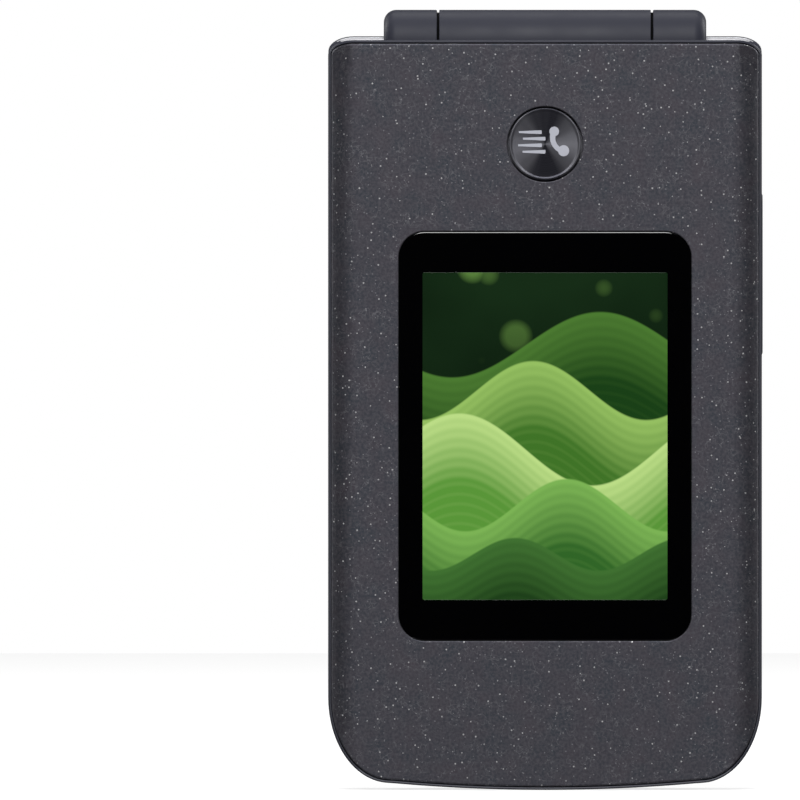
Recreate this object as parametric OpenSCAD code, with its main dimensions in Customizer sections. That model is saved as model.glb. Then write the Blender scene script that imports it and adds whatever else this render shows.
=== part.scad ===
// Flip phone with an outer display, closed and standing on the lower edge of its shell.
// X runs along the width, Y from the lid's outer face to the rear cover, and Z up.
// Y = 0 is halfway between the lid's outer face and the top of the camera ring.

/* [Shell outline] */
// Width of the phone
body_w = 59; // [57:0.5:63]
// Height of the base, from the lowest point of its bottom edge to its top edge
base_h = 102.5; // [101:0.5:108]
// How far the lid's top edge lies below the base's top edge
lid_drop = 0.55; // [0.4:0.05:0.9]
// Radius of the long arc of the bottom edge
bottom_r = 235; // [180:5:400]
// Width of the curve of each bottom corner
corner_w = 8.4; // [7:0.2:10]
// Height of the curve of each bottom corner
corner_h = 11.6; // [10:0.2:13]
// Width of the curve of each top corner
top_corner_w = 3.5; // [2.8:0.1:4]
// Height of the curve of each top corner
top_corner_h = 2; // [1.8:0.1:2.4]

/* [Shell layers] */
// Depth over which the lid's outer cover rolls down at its sides
lid_roll_d = 2.8; // [2.4:0.1:3.2]
// Width over which the lid's outer cover rolls down at its sides
lid_roll_w = 4; // [3.6:0.1:4.6]
// Depth of the lid frame's straight side
lid_side = 3; // [3:0.1:3.6]
// Thickness of the panel on the lid's inner face
panel_t = 1.1; // [1.1:0.1:1.4]
// Gap between the closed lid and the keypad fascia
lid_gap = 0.5; // [0.5:0.05:0.7]
// Thickness of the keypad fascia
deck_t = 1; // [1:0.1:1.3]
// Depth of the base frame's straight side
base_side = 6.2; // [6.2:0.1:7.5]
// Depth over which the rear cover rolls down at its sides
rear_roll_d = 3.8; // [3.6:0.1:4.4]
// Width over which the rear cover rolls down at its sides
rear_roll_w = 7.5; // [7:0.1:8.4]
// Height of the camera ring above the rear cover
ring_rise = 0.8; // [0.6:0.1:1.1]
// Wall of the lid's outer cover
cover_wall = 1.2; // [1.1:0.05:1.3]
// Wall of the rear cover
rear_wall = 1.1; // [1:0.05:1.2]
// Width of the frame's rim that shows round each cover
rim_w = 0.35; // [0.3:0.05:0.5]
// Seam between a rim and the cover inside it
seam = 0.12; // [0.08:0.02:0.2]
// How far the rim's edge lies below the cover beside it
rim_sink = 0.15; // [0.1:0.05:0.3]
// Wall of the lid frame round the parts behind the outer cover
lid_wall = 1.8; // [1.6:0.1:2.2]
// Wall of the base frame
base_wall = 1.4; // [1.3:0.05:1.5]
// How far the lid's inner panel stands in from the lid's side
panel_inset = 1.2; // [1:0.1:1.5]
// How far the keypad fascia stands in from the base's side
deck_inset = 1; // [0.9:0.1:1.3]

/* [Hinge] */
// Diameter of the hinge barrel
hinge_d = 9; // [8.6:0.1:9.4]
// Length of the hinge barrel with both end knuckles
hinge_len = 43.9; // [42:0.1:46]
// Length of one end knuckle
knuckle_len = 7.4; // [6.6:0.1:8]
// How far the hinge axis lies below the base's top edge
hinge_drop = 0.9; // [0.7:0.05:1.1]
// How far the hinge axis lies behind the middle of the lid gap
hinge_back = 2.05; // [1.95:0.05:2.2]
// Radius of the rounded ends of the barrel
hinge_end_r = 1.7; // [1.2:0.1:2.2]
// Radius of the pivots at both ends of the lid's barrel
pivot_r = 2; // [1.8:0.05:2.2]

/* [Lid front] */
// Width of the outer display's window
window_w = 39.7; // [38:0.1:42]
// Height of the outer display's window
window_h = 55.6; // [53:0.1:57]
// Corner radius of the window
window_r = 3.5; // [2.5:0.1:5]
// Distance of the window's top edge from the lid's top edge
window_drop = 26.05; // [25:0.05:27]
// Thickness of the window
window_t = 0.8; // [0.7:0.05:0.9]
// Width of the picture on the outer display
picture_w = 33.3; // [31:0.1:34.5]
// Height of the picture on the outer display
picture_h = 44.5; // [42:0.1:46]
// Diameter of the round call key
call_key_d = 9.85; // [9:0.05:10.6]
// Distance of the call key's centre from the lid's top edge
call_key_drop = 14.15; // [13.6:0.05:14.6]
// Height of the call key above the cover
call_key_rise = 0.1; // [0.05:0.05:0.2]
// Travel of the call key
call_key_travel = 0.35; // [0.25:0.05:0.35]

/* [Lid inside] */
// Width of the main display's picture
main_picture_w = 48.8; // [46:0.1:49.5]
// Height of the main display's picture
main_picture_h = 65; // [62:0.5:66]
// Height of the middle of the main display
main_z = 55; // [54:0.5:56]
// Width of the main display's window
inner_window_w = 54.4; // [53.2:0.1:55]
// Height of the main display's window
inner_window_h = 77; // [75:0.5:78]

/* [Keypad] */
// Width of a number key
key_w = 16.6; // [15:0.1:16.9]
// Height of a number key
key_h = 9.8; // [9:0.1:10.4]
// Distance between number keys, side to side
key_pitch_x = 18.2; // [18.1:0.1:18.6]
// Distance between number keys, row to row
key_pitch_z = 12.3; // [11.9:0.1:12.6]
// Height of the middle of the lowest row of keys
key_row_z = 15.2; // [15:0.1:15.8]
// Height of the middle of the navigation ring
nav_z = 78; // [77:0.5:79]
// Outer diameter of the navigation ring
nav_d = 20.8; // [19:0.2:21.4]
// Diameter of the key in the middle of the navigation ring
ok_key_d = 9.7; // [8.5:0.1:10.4]
// Width of the soft keys and the call keys
side_key_w = 12.5; // [11:0.1:12.8]
// Height of the soft keys and the call keys
side_key_h = 6.4; // [5.6:0.1:7]
// Distance of the side keys' middles from the phone's middle
side_key_x = 19.6; // [19.4:0.1:19.8]
// Distance of the side keys' middles above and below the navigation ring's middle
side_key_dz = 11.5; // [11:0.1:12]
// Travel of a key
key_travel = 0.3; // [0.2:0.05:0.35]
// Height of a key above the fascia
key_rise = 0.15; // [0.1:0.05:0.2]

/* [Rear] */
// Distance of the camera's axis from the base's top edge
camera_drop = 16.9; // [16.5:0.1:17.5]
// Outer diameter of the camera ring
ring_d = 11.6; // [11:0.1:12.4]
// Diameter of the glass in the camera ring
glass_d = 9.5; // [9:0.1:9.9]
// Distance of the flash, and of the middle speaker slot, from the camera's axis
side_feature_x = 11.65; // [11.5:0.05:12]
// Width of the flash window
flash_w = 3; // [2.6:0.1:3.4]
// Height of the flash window
flash_h = 5; // [4.4:0.1:5.6]
// Width of a speaker slot
slot_w = 2; // [1.6:0.1:2.2]
// Height of a speaker slot
slot_h = 5.4; // [4.6:0.1:6]
// Distance between speaker slots
slot_pitch = 3.3; // [3:0.1:3.4]
// Number of speaker slots
slot_count = 3; // [1:1:3]
// Width of the pry notch in the rear cover's bottom edge
notch_w = 11.7; // [10:0.1:14]
// Height of the pry notch
notch_h = 1.1; // [0.9:0.1:1.4]
// Height over which the seam bends forward at the top of the base's side
bend_h = 15.5; // [13:0.5:18]
// How far forward the seam lies at the top of the base's side
bend_d = 1.9; // [1.5:0.1:2.2]

/* [Side] */
// Length of the volume rocker
rocker_len = 22.2; // [20:0.2:24]
// Width of the volume rocker
rocker_w = 2.6; // [2.2:0.1:2.9]
// Distance of the rocker's middle from the base's top edge
rocker_drop = 32.4; // [31:0.1:33]
// Height of the rocker above the base's side
rocker_rise = 0.15; // [0.1:0.05:0.25]
// Inner radius of the headphone socket
jack_r = 1.8; // [1.76:0.01:1.82]
// Depth of the headphone socket's bore
jack_depth = 12.5; // [12:0.1:13.2]
// Height of the headphone socket's axis
jack_z = 73; // [72:0.5:75]
// Height of the middle of the charging socket
usb_z = 20; // [19:0.5:30]

/* [Base inside] */
// Width of the battery
battery_w = 39; // [36:0.5:39.5]
// Height of the battery
battery_h = 52; // [48:0.5:53]
// Thickness of the battery
battery_t = 4.6; // [4:0.1:4.7]
// Height of the battery's lower edge
battery_z = 14; // [13.5:0.5:14]
// Thickness of the circuit boards
board_t = 0.8; // [0.7:0.05:0.9]
// Thickness of the base frame's floor
floor_t = 0.7; // [0.6:0.05:0.8]
// Radius of the screws' shanks
screw_r = 0.7; // [0.6:0.05:0.8]

/* [Hidden] */
$fn = 48;
eps = 0.01;
// Gap between two fixed pieces that lie side by side
fit = 0.05;
// Gap between a piece that moves and what it moves past
play = 0.25;
// Radial clearance of a pivot in its bearing
pivot_play = 0.05;
// Radial clearance of a screw in a hole that it only passes through
screw_play = 0.1;
arc_steps = 8;
far = 4 * base_h;

// Layers, from the lid's outer face to the camera ring
depth = lid_roll_d + lid_side + panel_t + lid_gap + deck_t + base_side + rear_roll_d + ring_rise;
y_lid = -depth / 2;
y_lid_seat = y_lid + lid_roll_d;
y_lid_back = y_lid_seat + lid_side;
y_panel = y_lid_back + panel_t;
y_deck = y_panel + lid_gap;
y_deck_back = y_deck + deck_t;
y_seam = y_deck_back + base_side;
y_rear = y_seam + rear_roll_d;
y_ring = y_rear + ring_rise;

// Layers inside the lid
y_cover_in = y_lid + cover_wall;
lid_floor_t = 0.5;
outer_display_t = 1.2;
y_outer_display = y_cover_in + fit;
y_lid_board = y_outer_display + outer_display_t + fit;
y_lid_floor = y_lid_board + board_t;
y_lid_floor_back = y_lid_floor + lid_floor_t;

// Layers inside the base
dome_sheet_t = 0.12;
dome_h = 0.08;
key_depth = 0.4;
key_back = y_deck_back + key_depth;
y_dome_sheet = key_back + key_travel + dome_h + fit;
y_board = y_dome_sheet + dome_sheet_t;
y_board_back = y_board + board_t;
shield_t = 1.2;
shield_gap = 0.1;
y_floor = y_board_back + shield_t + shield_gap;
y_floor_back = y_floor + floor_t;
y_rear_in = y_rear - rear_wall;

// Heights
lid_top = base_h - lid_drop;
window_z = lid_top - window_drop - window_h / 2;
call_key_z = lid_top - call_key_drop;
camera_z = base_h - camera_drop;
rocker_z = base_h - rocker_drop;
cover_inset = rim_w + seam;

// Where the bottom arc meets the curve of a bottom corner
join_x = body_w / 2 - corner_w;
corner_z = bottom_r - sqrt(pow(bottom_r, 2) - pow(join_x, 2)) + corner_h;

// Hinge
hinge_r = hinge_d / 2;
hinge_y = (y_panel + y_deck) / 2 + hinge_back;
hinge_z = base_h - hinge_drop;
hinge_gap = 0.3;
barrel_x = hinge_len / 2 - knuckle_len - hinge_gap / 2;
knuckle_x = hinge_len / 2 - knuckle_len + hinge_gap / 2;
knuckle_end = hinge_len / 2;
sweep_r = hinge_r + hinge_gap;
saddle_wall = 0.8;
barrel_bite = 1;
pivot_len = 5;
pivot_end_gap = 0.2;
cartridge_r = 3.15;
cartridge_gap = 0.3;
stub_wall = 0.8;
bearing_len = 5.2;
relief_h = 1.6;
relief_in = 1.2;
relief_rise = 0.15;

// Keys: name, place, width and height
ROW_NAMES = [["star", "0", "hash"], ["7", "8", "9"], ["4", "5", "6"], ["1", "2", "3"]];
NUMBER_KEYS = [for (row = [0:3]) for (col = [-1:1])
    [str("key_", ROW_NAMES[row][col + 1]), col * key_pitch_x, key_row_z + row * key_pitch_z, key_w, key_h]];
SIDE_KEYS = [for (side = [["soft_key_left", -1, 1], ["soft_key_right", 1, 1],
                          ["talk_key", -1, -1], ["end_key", 1, -1]])
    [side[0], side[1] * side_key_x, nav_z + side[2] * side_key_dz, side_key_w, side_key_h]];
KEYS = concat(NUMBER_KEYS, SIDE_KEYS);
key_corner_r = 2;
key_flange = 0.55;
key_flange_gap = 0.1;
nav_rise = 0.1;
nav_depth = 0.5;
nav_flange = 0.5;
nav_flange_gap = 0.27;
dome_r = 2.2;
dome_sheet_in = 1.4;

// Lid screws and the bumpers over them
lower_screw = [body_w / 2 - 7.5, key_row_z - key_h / 2 - 3.8];
upper_screw = [body_w / 2 - 3.6, lid_top - 5.4];
LID_SCREWS = [for (p = [lower_screw, upper_screw], side = [-1, 1]) [side * p[0], p[1]]];
lid_screw_head_r = 1.25;
lid_screw_head_t = 0.34;
lid_screw_grip = 1.9;
bumper_r = 1.35;
bumper_sink = 0.75;

// Behind the lid's cover
picture_frame = 0.6;
picture_open_r = 0.8;
outer_display_side = 1.6;
outer_display_end = 2;
display_corner_r = 0.5;
call_key_gap = 0.22;
call_key_flange = 0.9;
call_key_flange_t = 0.4;
call_switch_w = 4;
call_switch_dome_r = 1.1;
call_switch_dome_t = 0.2;
call_switch_gap = 0.1;
motor_r = 4;
motor_x = -15;
motor_z = 12;
motor_gap = 0.15;
lid_board_w = 44;
lid_board_margin = 1;
lid_board_over = 5;

// Behind the lid's inner panel
main_display_t = 1.7;
main_display_side = 2.35;
main_display_end = 2.75;
main_display_r = 0.6;
bay_play = 0.25;
display_bay_w = main_picture_w + 2 * main_display_side + 2 * bay_play;
display_bay_h = main_picture_h + 2 * main_display_end + 2 * bay_play;
inner_window_t = 0.65;
inner_window_pocket = 0.7;
inner_window_r = 2.5;
main_picture_frame = 0.5;
receiver = [14, 1.8, 6];
receiver_z = 9;
grille_w = 13;
grille_h = 1.6;
grille_sink = 0.2;
grille_gap = 0.1;
magnet = [8, 1.5, 3];
magnet_x = 15.5;

// Flexible circuit through the hinge
flex_bore_r = 2.4;
flex_coil_play = 0.15;
flex_w = 5;
flex_x = 2;
flex_t = 0.12;
flex_strip_w = 1.6;
flex_joint = 0.5;
flex_lid_y = y_lid_back - 0.5;
flex_side_play = 0.2;
flex_play = 0.25;
flex_bend_play = 0.35;
flex_lap = 1;

// Base screws and the fascia's bosses
boss_r = 1.7;
boss_play = 0.3;
boss_end = 0.2;
lower_boss = [body_w / 2 - 8, corner_z - 6.95];
upper_boss = [body_w / 2 - 3.75, base_h - 5];
BOSSES = [for (p = [lower_boss, upper_boss], side = [-1, 1]) [side * p[0], p[1]]];
base_screw_head_r = 1.4;
base_screw_head_h = 0.6;
base_screw_grip = 2;

// Base frame
edge_r = 1.1;
rib_t = 0.8;
rib_h = 3.2;
battery_play = 0.25;
board_in = 1;
board_saddle_gap = 0.4;

// Headphone socket
jack_y = y_board_back + 1.9;
jack_nose_r = jack_r + 0.4;
jack_body_r = jack_r + 0.55;
jack_tail = 2;
jack_gap = 0.1;

// Charging socket: depth from the side, thickness, length, and the plug's opening
usb = [7.4, 3.2, 9];
usb_sink = 0.3;
usb_x = -body_w / 2 + usb_sink;
usb_gap = 0.1;
usb_plug_w = 8.34;
usb_plug_t = 2.56;
usb_tongue_in = 1.2;
usb_tongue_w = 6.6;
usb_tongue_t = 0.7;
usb_tongue_y = 1.3;

// Volume rocker and its switches
rocker_y = (y_deck_back + y_seam) / 2 - 0.4;
rocker_play = 0.12;
rocker_flange_x = body_w / 2 - base_wall - 0.35;
rocker_flange_t = 0.8;
rocker_flange_side = 0.5;
rocker_flange_end = 1;
rocker_room_side = 0.8;
rocker_room_end = 1.6;
rocker_lap = 0.2;
switch_x = body_w / 2 - base_wall - 2.5;
switch_strip_t = 0.8;
switch_strip_len = 21;
switch_strip_over = 1.1;
switch_pitch = 15;
switch_len = 3;
switch_w = 2;
switch_reach = 0.25;
switch_room = 0.3;
pivot_rib_t = 0.8;

// Small pieces inside the base
mic_z = 5.8;
mic_hole_r = 0.5;
mic = [3.4, 2.6];
mic_gap = 0.1;
shield_z = 41;
shield_w = 34;
shield_h = 38;
shield_r = 1;
battery_gap = 0.1;
battery_r = 1.2;
battery_top = battery_z + battery_h;
contacts_x = -8.5;
contacts = [9, 3, 2.2];
contacts_gap = 0.2;
sim_x = 13;
sim = [15, 1.4, 12];
sim_gap = 0.5;
sim_r = 0.5;
antenna_z = 8.2;
antenna = [32, 0.5, 6];
antenna_r = 1;
speaker_w = 13;
speaker_h = 9.6;
speaker_r = 1;
speaker_gap = 0.6;
camera_w = 8.6;
camera_t = 3;
camera_barrel_r = 3.6;
camera_barrel_gap = 0.75;
lens_r = 1.5;
lens_from = 0.72;
lens_to = 0.45;
flash_base_w = 4;
flash_base_h = 5.2;
flash_base_gap = 0.8;
flash_chip_r = 1;
flash_chip_gap = 0.4;
chip_lap = 0.1;

// Rear cover and camera ring
notch_depth = 0.4;
ring_edge = 0.35;
ring_flange = 0.6;
ring_flange_t = 0.45;
ring_seat = 0.6;
ring_seat_y = 0.95;
glass_t = 0.6;
glass_sink = 0.3;
flash_window_gap = 0.1;
flash_window_rise = 0.05;

LID_NODES = ["lid_frame", "lid_cover", "outer_window", "outer_display", "call_key", "call_key_switch",
    "lid_board", "vibration_motor", "main_display", "lid_inner_panel", "inner_window",
    "earpiece_receiver", "earpiece_grille", "lid_magnet", "lid_screws", "lid_bumpers"];
HINGE_NODES = ["hinge_cartridge", "hinge_stub", "hinge_flex"];
BASE_NODES = ["base_frame", "keypad_fascia", "dome_sheet", "main_board", "shield_can", "microphone",
    "battery", "battery_contacts", "sim_holder", "antenna", "loudspeaker", "camera_module",
    "camera_lens", "flash_led", "usb_socket", "headphone_socket", "volume_switches",
    "base_screws", "volume_rocker", "nav_ring", "ok_key"];
REAR_NODES = ["rear_cover", "camera_ring", "camera_window", "flash_window"];

// ---------- shared shapes ----------

function arc_points(x, z, rx, rz, from, to, steps = arc_steps) =
    [for (i = [0:steps]) let (a = from + (to - from) * i / steps) [x + rx * cos(a), z + rz * sin(a)]];

function mirrored(points) = [for (i = [len(points) - 1:-1:0]) [-points[i][0], points[i][1]]];

// The front outline moved in by inset: a long bottom arc, elliptical corners and a flat top
module outline(inset, top) {
    join_angle = atan(join_x / bottom_r * corner_w / corner_h);
    arc_end = asin((join_x + corner_w * sin(join_angle)) / bottom_r);
    // An odd number of steps leaves a short flat in the middle, on which the phone stands
    bottom = arc_points(0, bottom_r, bottom_r - inset, bottom_r - inset, -90 + arc_end / 9, -90 + arc_end, 4);
    corner = arc_points(join_x, corner_z, corner_w - inset, corner_h - inset, -90 + join_angle, 0, 10);
    top_corner = arc_points(body_w / 2 - top_corner_w, top - top_corner_h,
        top_corner_w - inset, top_corner_h - inset, 0, 90, 6);
    half = concat([for (i = [0:len(bottom) - 2]) bottom[i]], corner, top_corner);
    polygon(concat(half, mirrored(half)));
}

// A plate between two depths, from a drawing in X and Z
module slab(from, to) {
    translate([0, to, 0]) rotate([90, 0, 0]) linear_extrude(to - from) children();
}

// A bar along X between two places, from a drawing in Y and Z
module bar(from, to) {
    translate([from, 0, 0]) rotate([90, 0, 90]) linear_extrude(to - from) children();
}

// The cross-section of a shell whose sides roll down, its face at 0 and its body below,
// with the surface sunk by sink
module rolled_section(roll_w, roll_d, sink, deep) {
    roll_r = (pow(roll_w, 2) + pow(roll_d, 2)) / (2 * roll_d);
    r = roll_r - sink;
    x = body_w / 2 - roll_w;
    end = r > roll_w ? asin(roll_w / r) : 90;
    right = arc_points(x, -roll_r, r, r, 90, 90 - end);
    half = concat([[right[arc_steps][0], -deep]], [for (i = [arc_steps:-1:0]) right[i]]);
    polygon(concat(half, mirrored(half)));
}

module front_section(sink, to) {
    translate([0, y_lid, 0]) mirror([0, 1, 0])
        linear_extrude(base_h) rolled_section(lid_roll_w, lid_roll_d, sink, to - y_lid);
}

module rear_section(sink, from) {
    translate([0, y_rear, 0])
        linear_extrude(base_h) rolled_section(rear_roll_w, rear_roll_d, sink, y_rear - from);
}

module rounded_rect(w, h, r) {
    square([w - 2 * r, h], center = true);
    square([w, h - 2 * r], center = true);
    for (x = [-1, 1], z = [-1, 1]) translate([x * (w / 2 - r), z * (h / 2 - r)]) circle(r);
}

module round_slot(w, h) {
    if (h > w) {
        square([w, h - w], center = true);
        for (z = [-1, 1]) translate([0, z * (h - w) / 2]) circle(w / 2);
    } else if (w > h) {
        rotate(90) round_slot(h, w);
    } else {
        circle(w / 2);
    }
}

// A plate with rounded corners, centred at x and z
module plate(x, z, w, h, r, from, to) {
    slab(from, to) translate([x, z]) rounded_rect(w, h, r);
}

module box(x, y, z) {
    translate([x[0], y[0], z[0]]) cube([x[1] - x[0], y[1] - y[0], z[1] - z[0]]);
}

// A round bar along Y
module rod_y(x, z, r, from, to) {
    translate([x, to, z]) rotate([90, 0, 0]) cylinder(r = r, h = to - from);
}

// A round bar along X
module rod_x(from, to, y, z, r) {
    translate([from, y, z]) rotate([0, 90, 0]) cylinder(r = r, h = to - from);
}

// A round bar along the hinge axis
module hinge_rod(r, from, to) {
    rod_x(from, to, hinge_y, hinge_z, r);
}

// What a neighbour loses round the hinge: r_middle at the lid's barrel and r_ends at the knuckles
module hinge_sweep(r_middle, r_ends) {
    hinge_rod(r_middle, -knuckle_x, knuckle_x);
    for (side = [0, 1]) mirror([side, 0, 0])
        hinge_rod(r_ends, barrel_x, knuckle_end + hinge_gap);
}

// ---------- lid ----------

// The wedge that the lid's inner top edge loses, so that it clears the base when it opens
module lid_top_relief() {
    relief_from = y_lid_back - relief_in;
    relief_z = lid_top + relief_rise - relief_h;
    bar(-body_w, body_w) polygon([
        [relief_from, lid_top + relief_rise], [y_panel, relief_z], [y_panel + 1, relief_z],
        [y_panel + 1, lid_top + 2], [relief_from, lid_top + 2]]);
}

module lid_frame() color("#3b3d47") {
    difference() {
        intersection() {
            slab(y_lid, y_lid_back) outline(0, lid_top);
            front_section(rim_sink, y_lid_back);
        }
        slab(y_lid - 1, y_lid_seat) outline(rim_w, lid_top);
        slab(y_lid_seat - eps, y_lid_floor) outline(lid_wall, lid_top);
        lid_bays();
        for (p = LID_SCREWS) rod_y(p[0], p[1], screw_r + fit, y_lid_floor - 1, y_lid_back + 1);
        lid_top_relief();
        hinge_rod(hinge_r - barrel_bite, -barrel_x, barrel_x);
        for (side = [0, 1]) mirror([side, 0, 0])
            hinge_rod(sweep_r, barrel_x, knuckle_end + hinge_gap);
        flex_slot();
    }
    difference() {
        hinge_rod(hinge_r, -barrel_x, barrel_x);
        hinge_rod(cartridge_r + fit, -barrel_x - 1, 0);
        hinge_rod(flex_bore_r, -1, barrel_x - bearing_len);
        hinge_rod(pivot_r + pivot_play, 0, barrel_x + 1);
        flex_slot();
    }
}

// Bays behind the inner panel, for the main display and for the parts below it
module lid_bays() {
    bay_y = [y_lid_floor_back, y_lid_back + 1];
    box([-display_bay_w / 2, display_bay_w / 2], bay_y,
        [main_z - display_bay_h / 2, main_z + display_bay_h / 2]);
    box([-receiver[0] / 2 - bay_play, magnet_x + magnet[0] / 2 + bay_play], bay_y,
        [receiver_z - receiver[2] / 2 - bay_play, receiver_z + receiver[2] / 2 + bay_play]);
}

// The way from the lid's barrel to its inside, for the flexible circuit
module flex_slot() {
    slot_x = [flex_x - flex_side_play, flex_x + flex_w + flex_side_play];
    box(slot_x, [flex_lid_y - flex_play, hinge_y], [hinge_z - flex_play, hinge_z + flex_bend_play]);
    box(slot_x, [flex_lid_y - flex_play, flex_lid_y + flex_bend_play],
        [main_z + display_bay_h / 2 - flex_lap, hinge_z + flex_bend_play]);
}

module lid_cover() color("#45474f") difference() {
    intersection() {
        slab(y_lid, y_lid_seat) outline(cover_inset, lid_top);
        front_section(0, y_lid_seat);
    }
    intersection() {
        slab(y_cover_in, y_lid_seat + 1) outline(cover_inset + cover_wall, lid_top);
        front_section(cover_wall, y_lid_seat + 1);
    }
    plate(0, window_z, window_w + 2 * fit, window_h + 2 * fit, window_r + fit, y_lid - 1, y_lid + window_t);
    plate(0, window_z, picture_w + 2 * picture_frame, picture_h + 2 * picture_frame, picture_open_r,
        y_lid - 1, y_cover_in + 1);
    rod_y(0, call_key_z, call_key_d / 2 + call_key_gap, y_lid - 1, y_cover_in + 1);
}

module outer_window() color("#0b0b0d")
    plate(0, window_z, window_w, window_h, window_r, y_lid, y_lid + window_t - fit);

module outer_display() color("#203028")
    plate(0, window_z, picture_w + 2 * outer_display_side, picture_h + 2 * outer_display_end,
        display_corner_r, y_outer_display, y_outer_display + outer_display_t);

module call_key() color("#4b4b4e") {
    flange_from = y_cover_in + fit;
    flange_to = flange_from + call_key_flange_t;
    rod_y(0, call_key_z, call_key_d / 2, y_lid - call_key_rise, flange_to);
    rod_y(0, call_key_z, call_key_d / 2 + call_key_flange, flange_from, flange_to);
}

module call_key_switch() color("silver") {
    dome_y = y_cover_in + fit + call_key_flange_t + call_key_travel + call_switch_gap;
    body_y = dome_y + call_switch_dome_t - fit;
    box([-call_switch_w / 2, call_switch_w / 2], [body_y, y_lid_board],
        [call_key_z - call_switch_w / 2, call_key_z + call_switch_w / 2]);
    rod_y(0, call_key_z, call_switch_dome_r, dome_y, dome_y + call_switch_dome_t);
}

module lid_board() color("#1f5a3c")
    box([-lid_board_w / 2, lid_board_w / 2], [y_lid_board, y_lid_floor],
        [motor_z + motor_r + lid_board_margin, call_key_z + lid_board_over]);

module vibration_motor() color("silver")
    rod_y(motor_x, motor_z, motor_r, y_cover_in + motor_gap, y_lid_floor - fit);

module main_display() color("#16181c")
    plate(0, main_z, main_picture_w + 2 * main_display_side, main_picture_h + 2 * main_display_end,
        main_display_r, y_lid_back - fit - main_display_t, y_lid_back - fit);

module lid_inner_panel() color("#17181b") difference() {
    slab(y_lid_back, y_panel) outline(panel_inset, lid_top);
    plate(0, main_z, inner_window_w + 2 * fit, inner_window_h + 2 * fit, inner_window_r + fit,
        y_panel - inner_window_pocket, y_panel + 1);
    plate(0, main_z, main_picture_w + 2 * main_picture_frame, main_picture_h + 2 * main_picture_frame,
        main_display_r, y_lid_back - 1, y_panel);
    slab(y_lid_back - 1, y_panel + 1) translate([0, receiver_z]) round_slot(grille_w, grille_h);
    for (p = LID_SCREWS) {
        rod_y(p[0], p[1], screw_r + screw_play, y_lid_back - 1, y_panel);
        rod_y(p[0], p[1], bumper_r + fit, y_panel - bumper_sink, y_panel + 1);
    }
    lid_top_relief();
    hinge_sweep(hinge_r + fit, sweep_r);
}

module inner_window() color("#08090b")
    plate(0, main_z, inner_window_w, inner_window_h, inner_window_r,
        y_panel - inner_window_pocket, y_panel - inner_window_pocket + inner_window_t);

// A block that lies against the back of the lid's inner panel
module behind_panel(x, z, size)
    box([x - size[0] / 2, x + size[0] / 2], [y_lid_back - fit - size[1], y_lid_back - fit],
        [z - size[2] / 2, z + size[2] / 2]);

module earpiece_receiver() color("#55585e") behind_panel(0, receiver_z, receiver);

module earpiece_grille() color("#2a2b2e")
    slab(y_lid_back + grille_gap, y_panel - grille_sink) translate([0, receiver_z])
        round_slot(grille_w - 2 * fit, grille_h - 2 * fit);

module lid_magnet() color("silver") behind_panel(magnet_x, receiver_z, magnet);

module lid_screws() color("silver") for (p = LID_SCREWS) {
    head_from = y_panel - bumper_sink + eps;
    rod_y(p[0], p[1], screw_r, y_lid_back - lid_screw_grip, head_from + lid_screw_head_t / 2);
    rod_y(p[0], p[1], lid_screw_head_r, head_from, head_from + lid_screw_head_t);
}

module lid_bumpers() color("#222222") for (p = LID_SCREWS)
    rod_y(p[0], p[1], bumper_r, y_panel - bumper_sink + eps + lid_screw_head_t + fit, y_deck - fit);

// ---------- hinge ----------

module hinge_cartridge() color("silver") {
    hinge_rod(cartridge_r, -barrel_x + pivot_end_gap, -cartridge_gap);
    hinge_rod(pivot_r, -knuckle_x - pivot_len, -barrel_x + pivot_end_gap);
}

module hinge_stub() color("silver") difference() {
    hinge_rod(pivot_r, barrel_x - bearing_len + pivot_end_gap, knuckle_x + pivot_len);
    hinge_rod(pivot_r - stub_wall, 0, far);
}

// Flexible circuit: a coil round the axis, a strip into the lid and a strip through the stub
module hinge_flex() color("#b5762a") {
    coil_r = flex_bore_r - flex_coil_play;
    coil_front = hinge_y - coil_r + flex_t / 2;
    strip_x = flex_x + flex_w - flex_joint;
    difference() {
        hinge_rod(coil_r, flex_x, flex_x + flex_w);
        hinge_rod(coil_r - flex_t, flex_x - 1, flex_x + flex_w + 1);
    }
    box([flex_x, flex_x + flex_w], [flex_lid_y, coil_front], [hinge_z, hinge_z + flex_t]);
    box([flex_x, flex_x + flex_w], [flex_lid_y, flex_lid_y + flex_t],
        [main_z + display_bay_h / 2, hinge_z + flex_t]);
    box([strip_x, knuckle_x + pivot_len - flex_lap], [hinge_y - flex_strip_w / 2, hinge_y + flex_strip_w / 2],
        [hinge_z - flex_t / 2, hinge_z + flex_t / 2]);
    box([strip_x, flex_x + flex_w], [coil_front, hinge_y], [hinge_z - flex_t / 2, hinge_z + flex_t / 2]);
}

// ---------- base ----------

// Everything behind the seam between the base frame and the rear cover, moved back by gap:
// a plane that bends forward near the top
module behind_seam(gap) {
    bend_r = (pow(bend_h, 2) + pow(bend_d, 2)) / (2 * bend_d);
    bend_end = asin(bend_h / bend_r);
    bend = arc_points(y_seam + gap - bend_r, base_h - bend_h, bend_r, bend_r, 0, bend_end);
    bar(-body_w, body_w)
        polygon(concat([[far, -far], [y_seam + gap, -far]], bend, [[bend[arc_steps][0], far], [far, far]]));
}

module battery_ribs() {
    rib_x = battery_w / 2 + battery_play;
    for (side = [0, 1]) mirror([side, 0, 0])
        box([rib_x, rib_x + rib_t], [y_floor_back - eps, y_floor_back - eps + rib_h],
            [battery_z, battery_z + battery_h]);
}

// The curved wall of the base under the lid's barrel
module saddle() intersection() {
    difference() {
        hinge_rod(sweep_r + saddle_wall, -knuckle_end, knuckle_end);
        hinge_rod(sweep_r, -far, far);
    }
    box([-far, far], [y_deck_back, y_floor_back], [0, hinge_z]);
}

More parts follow.
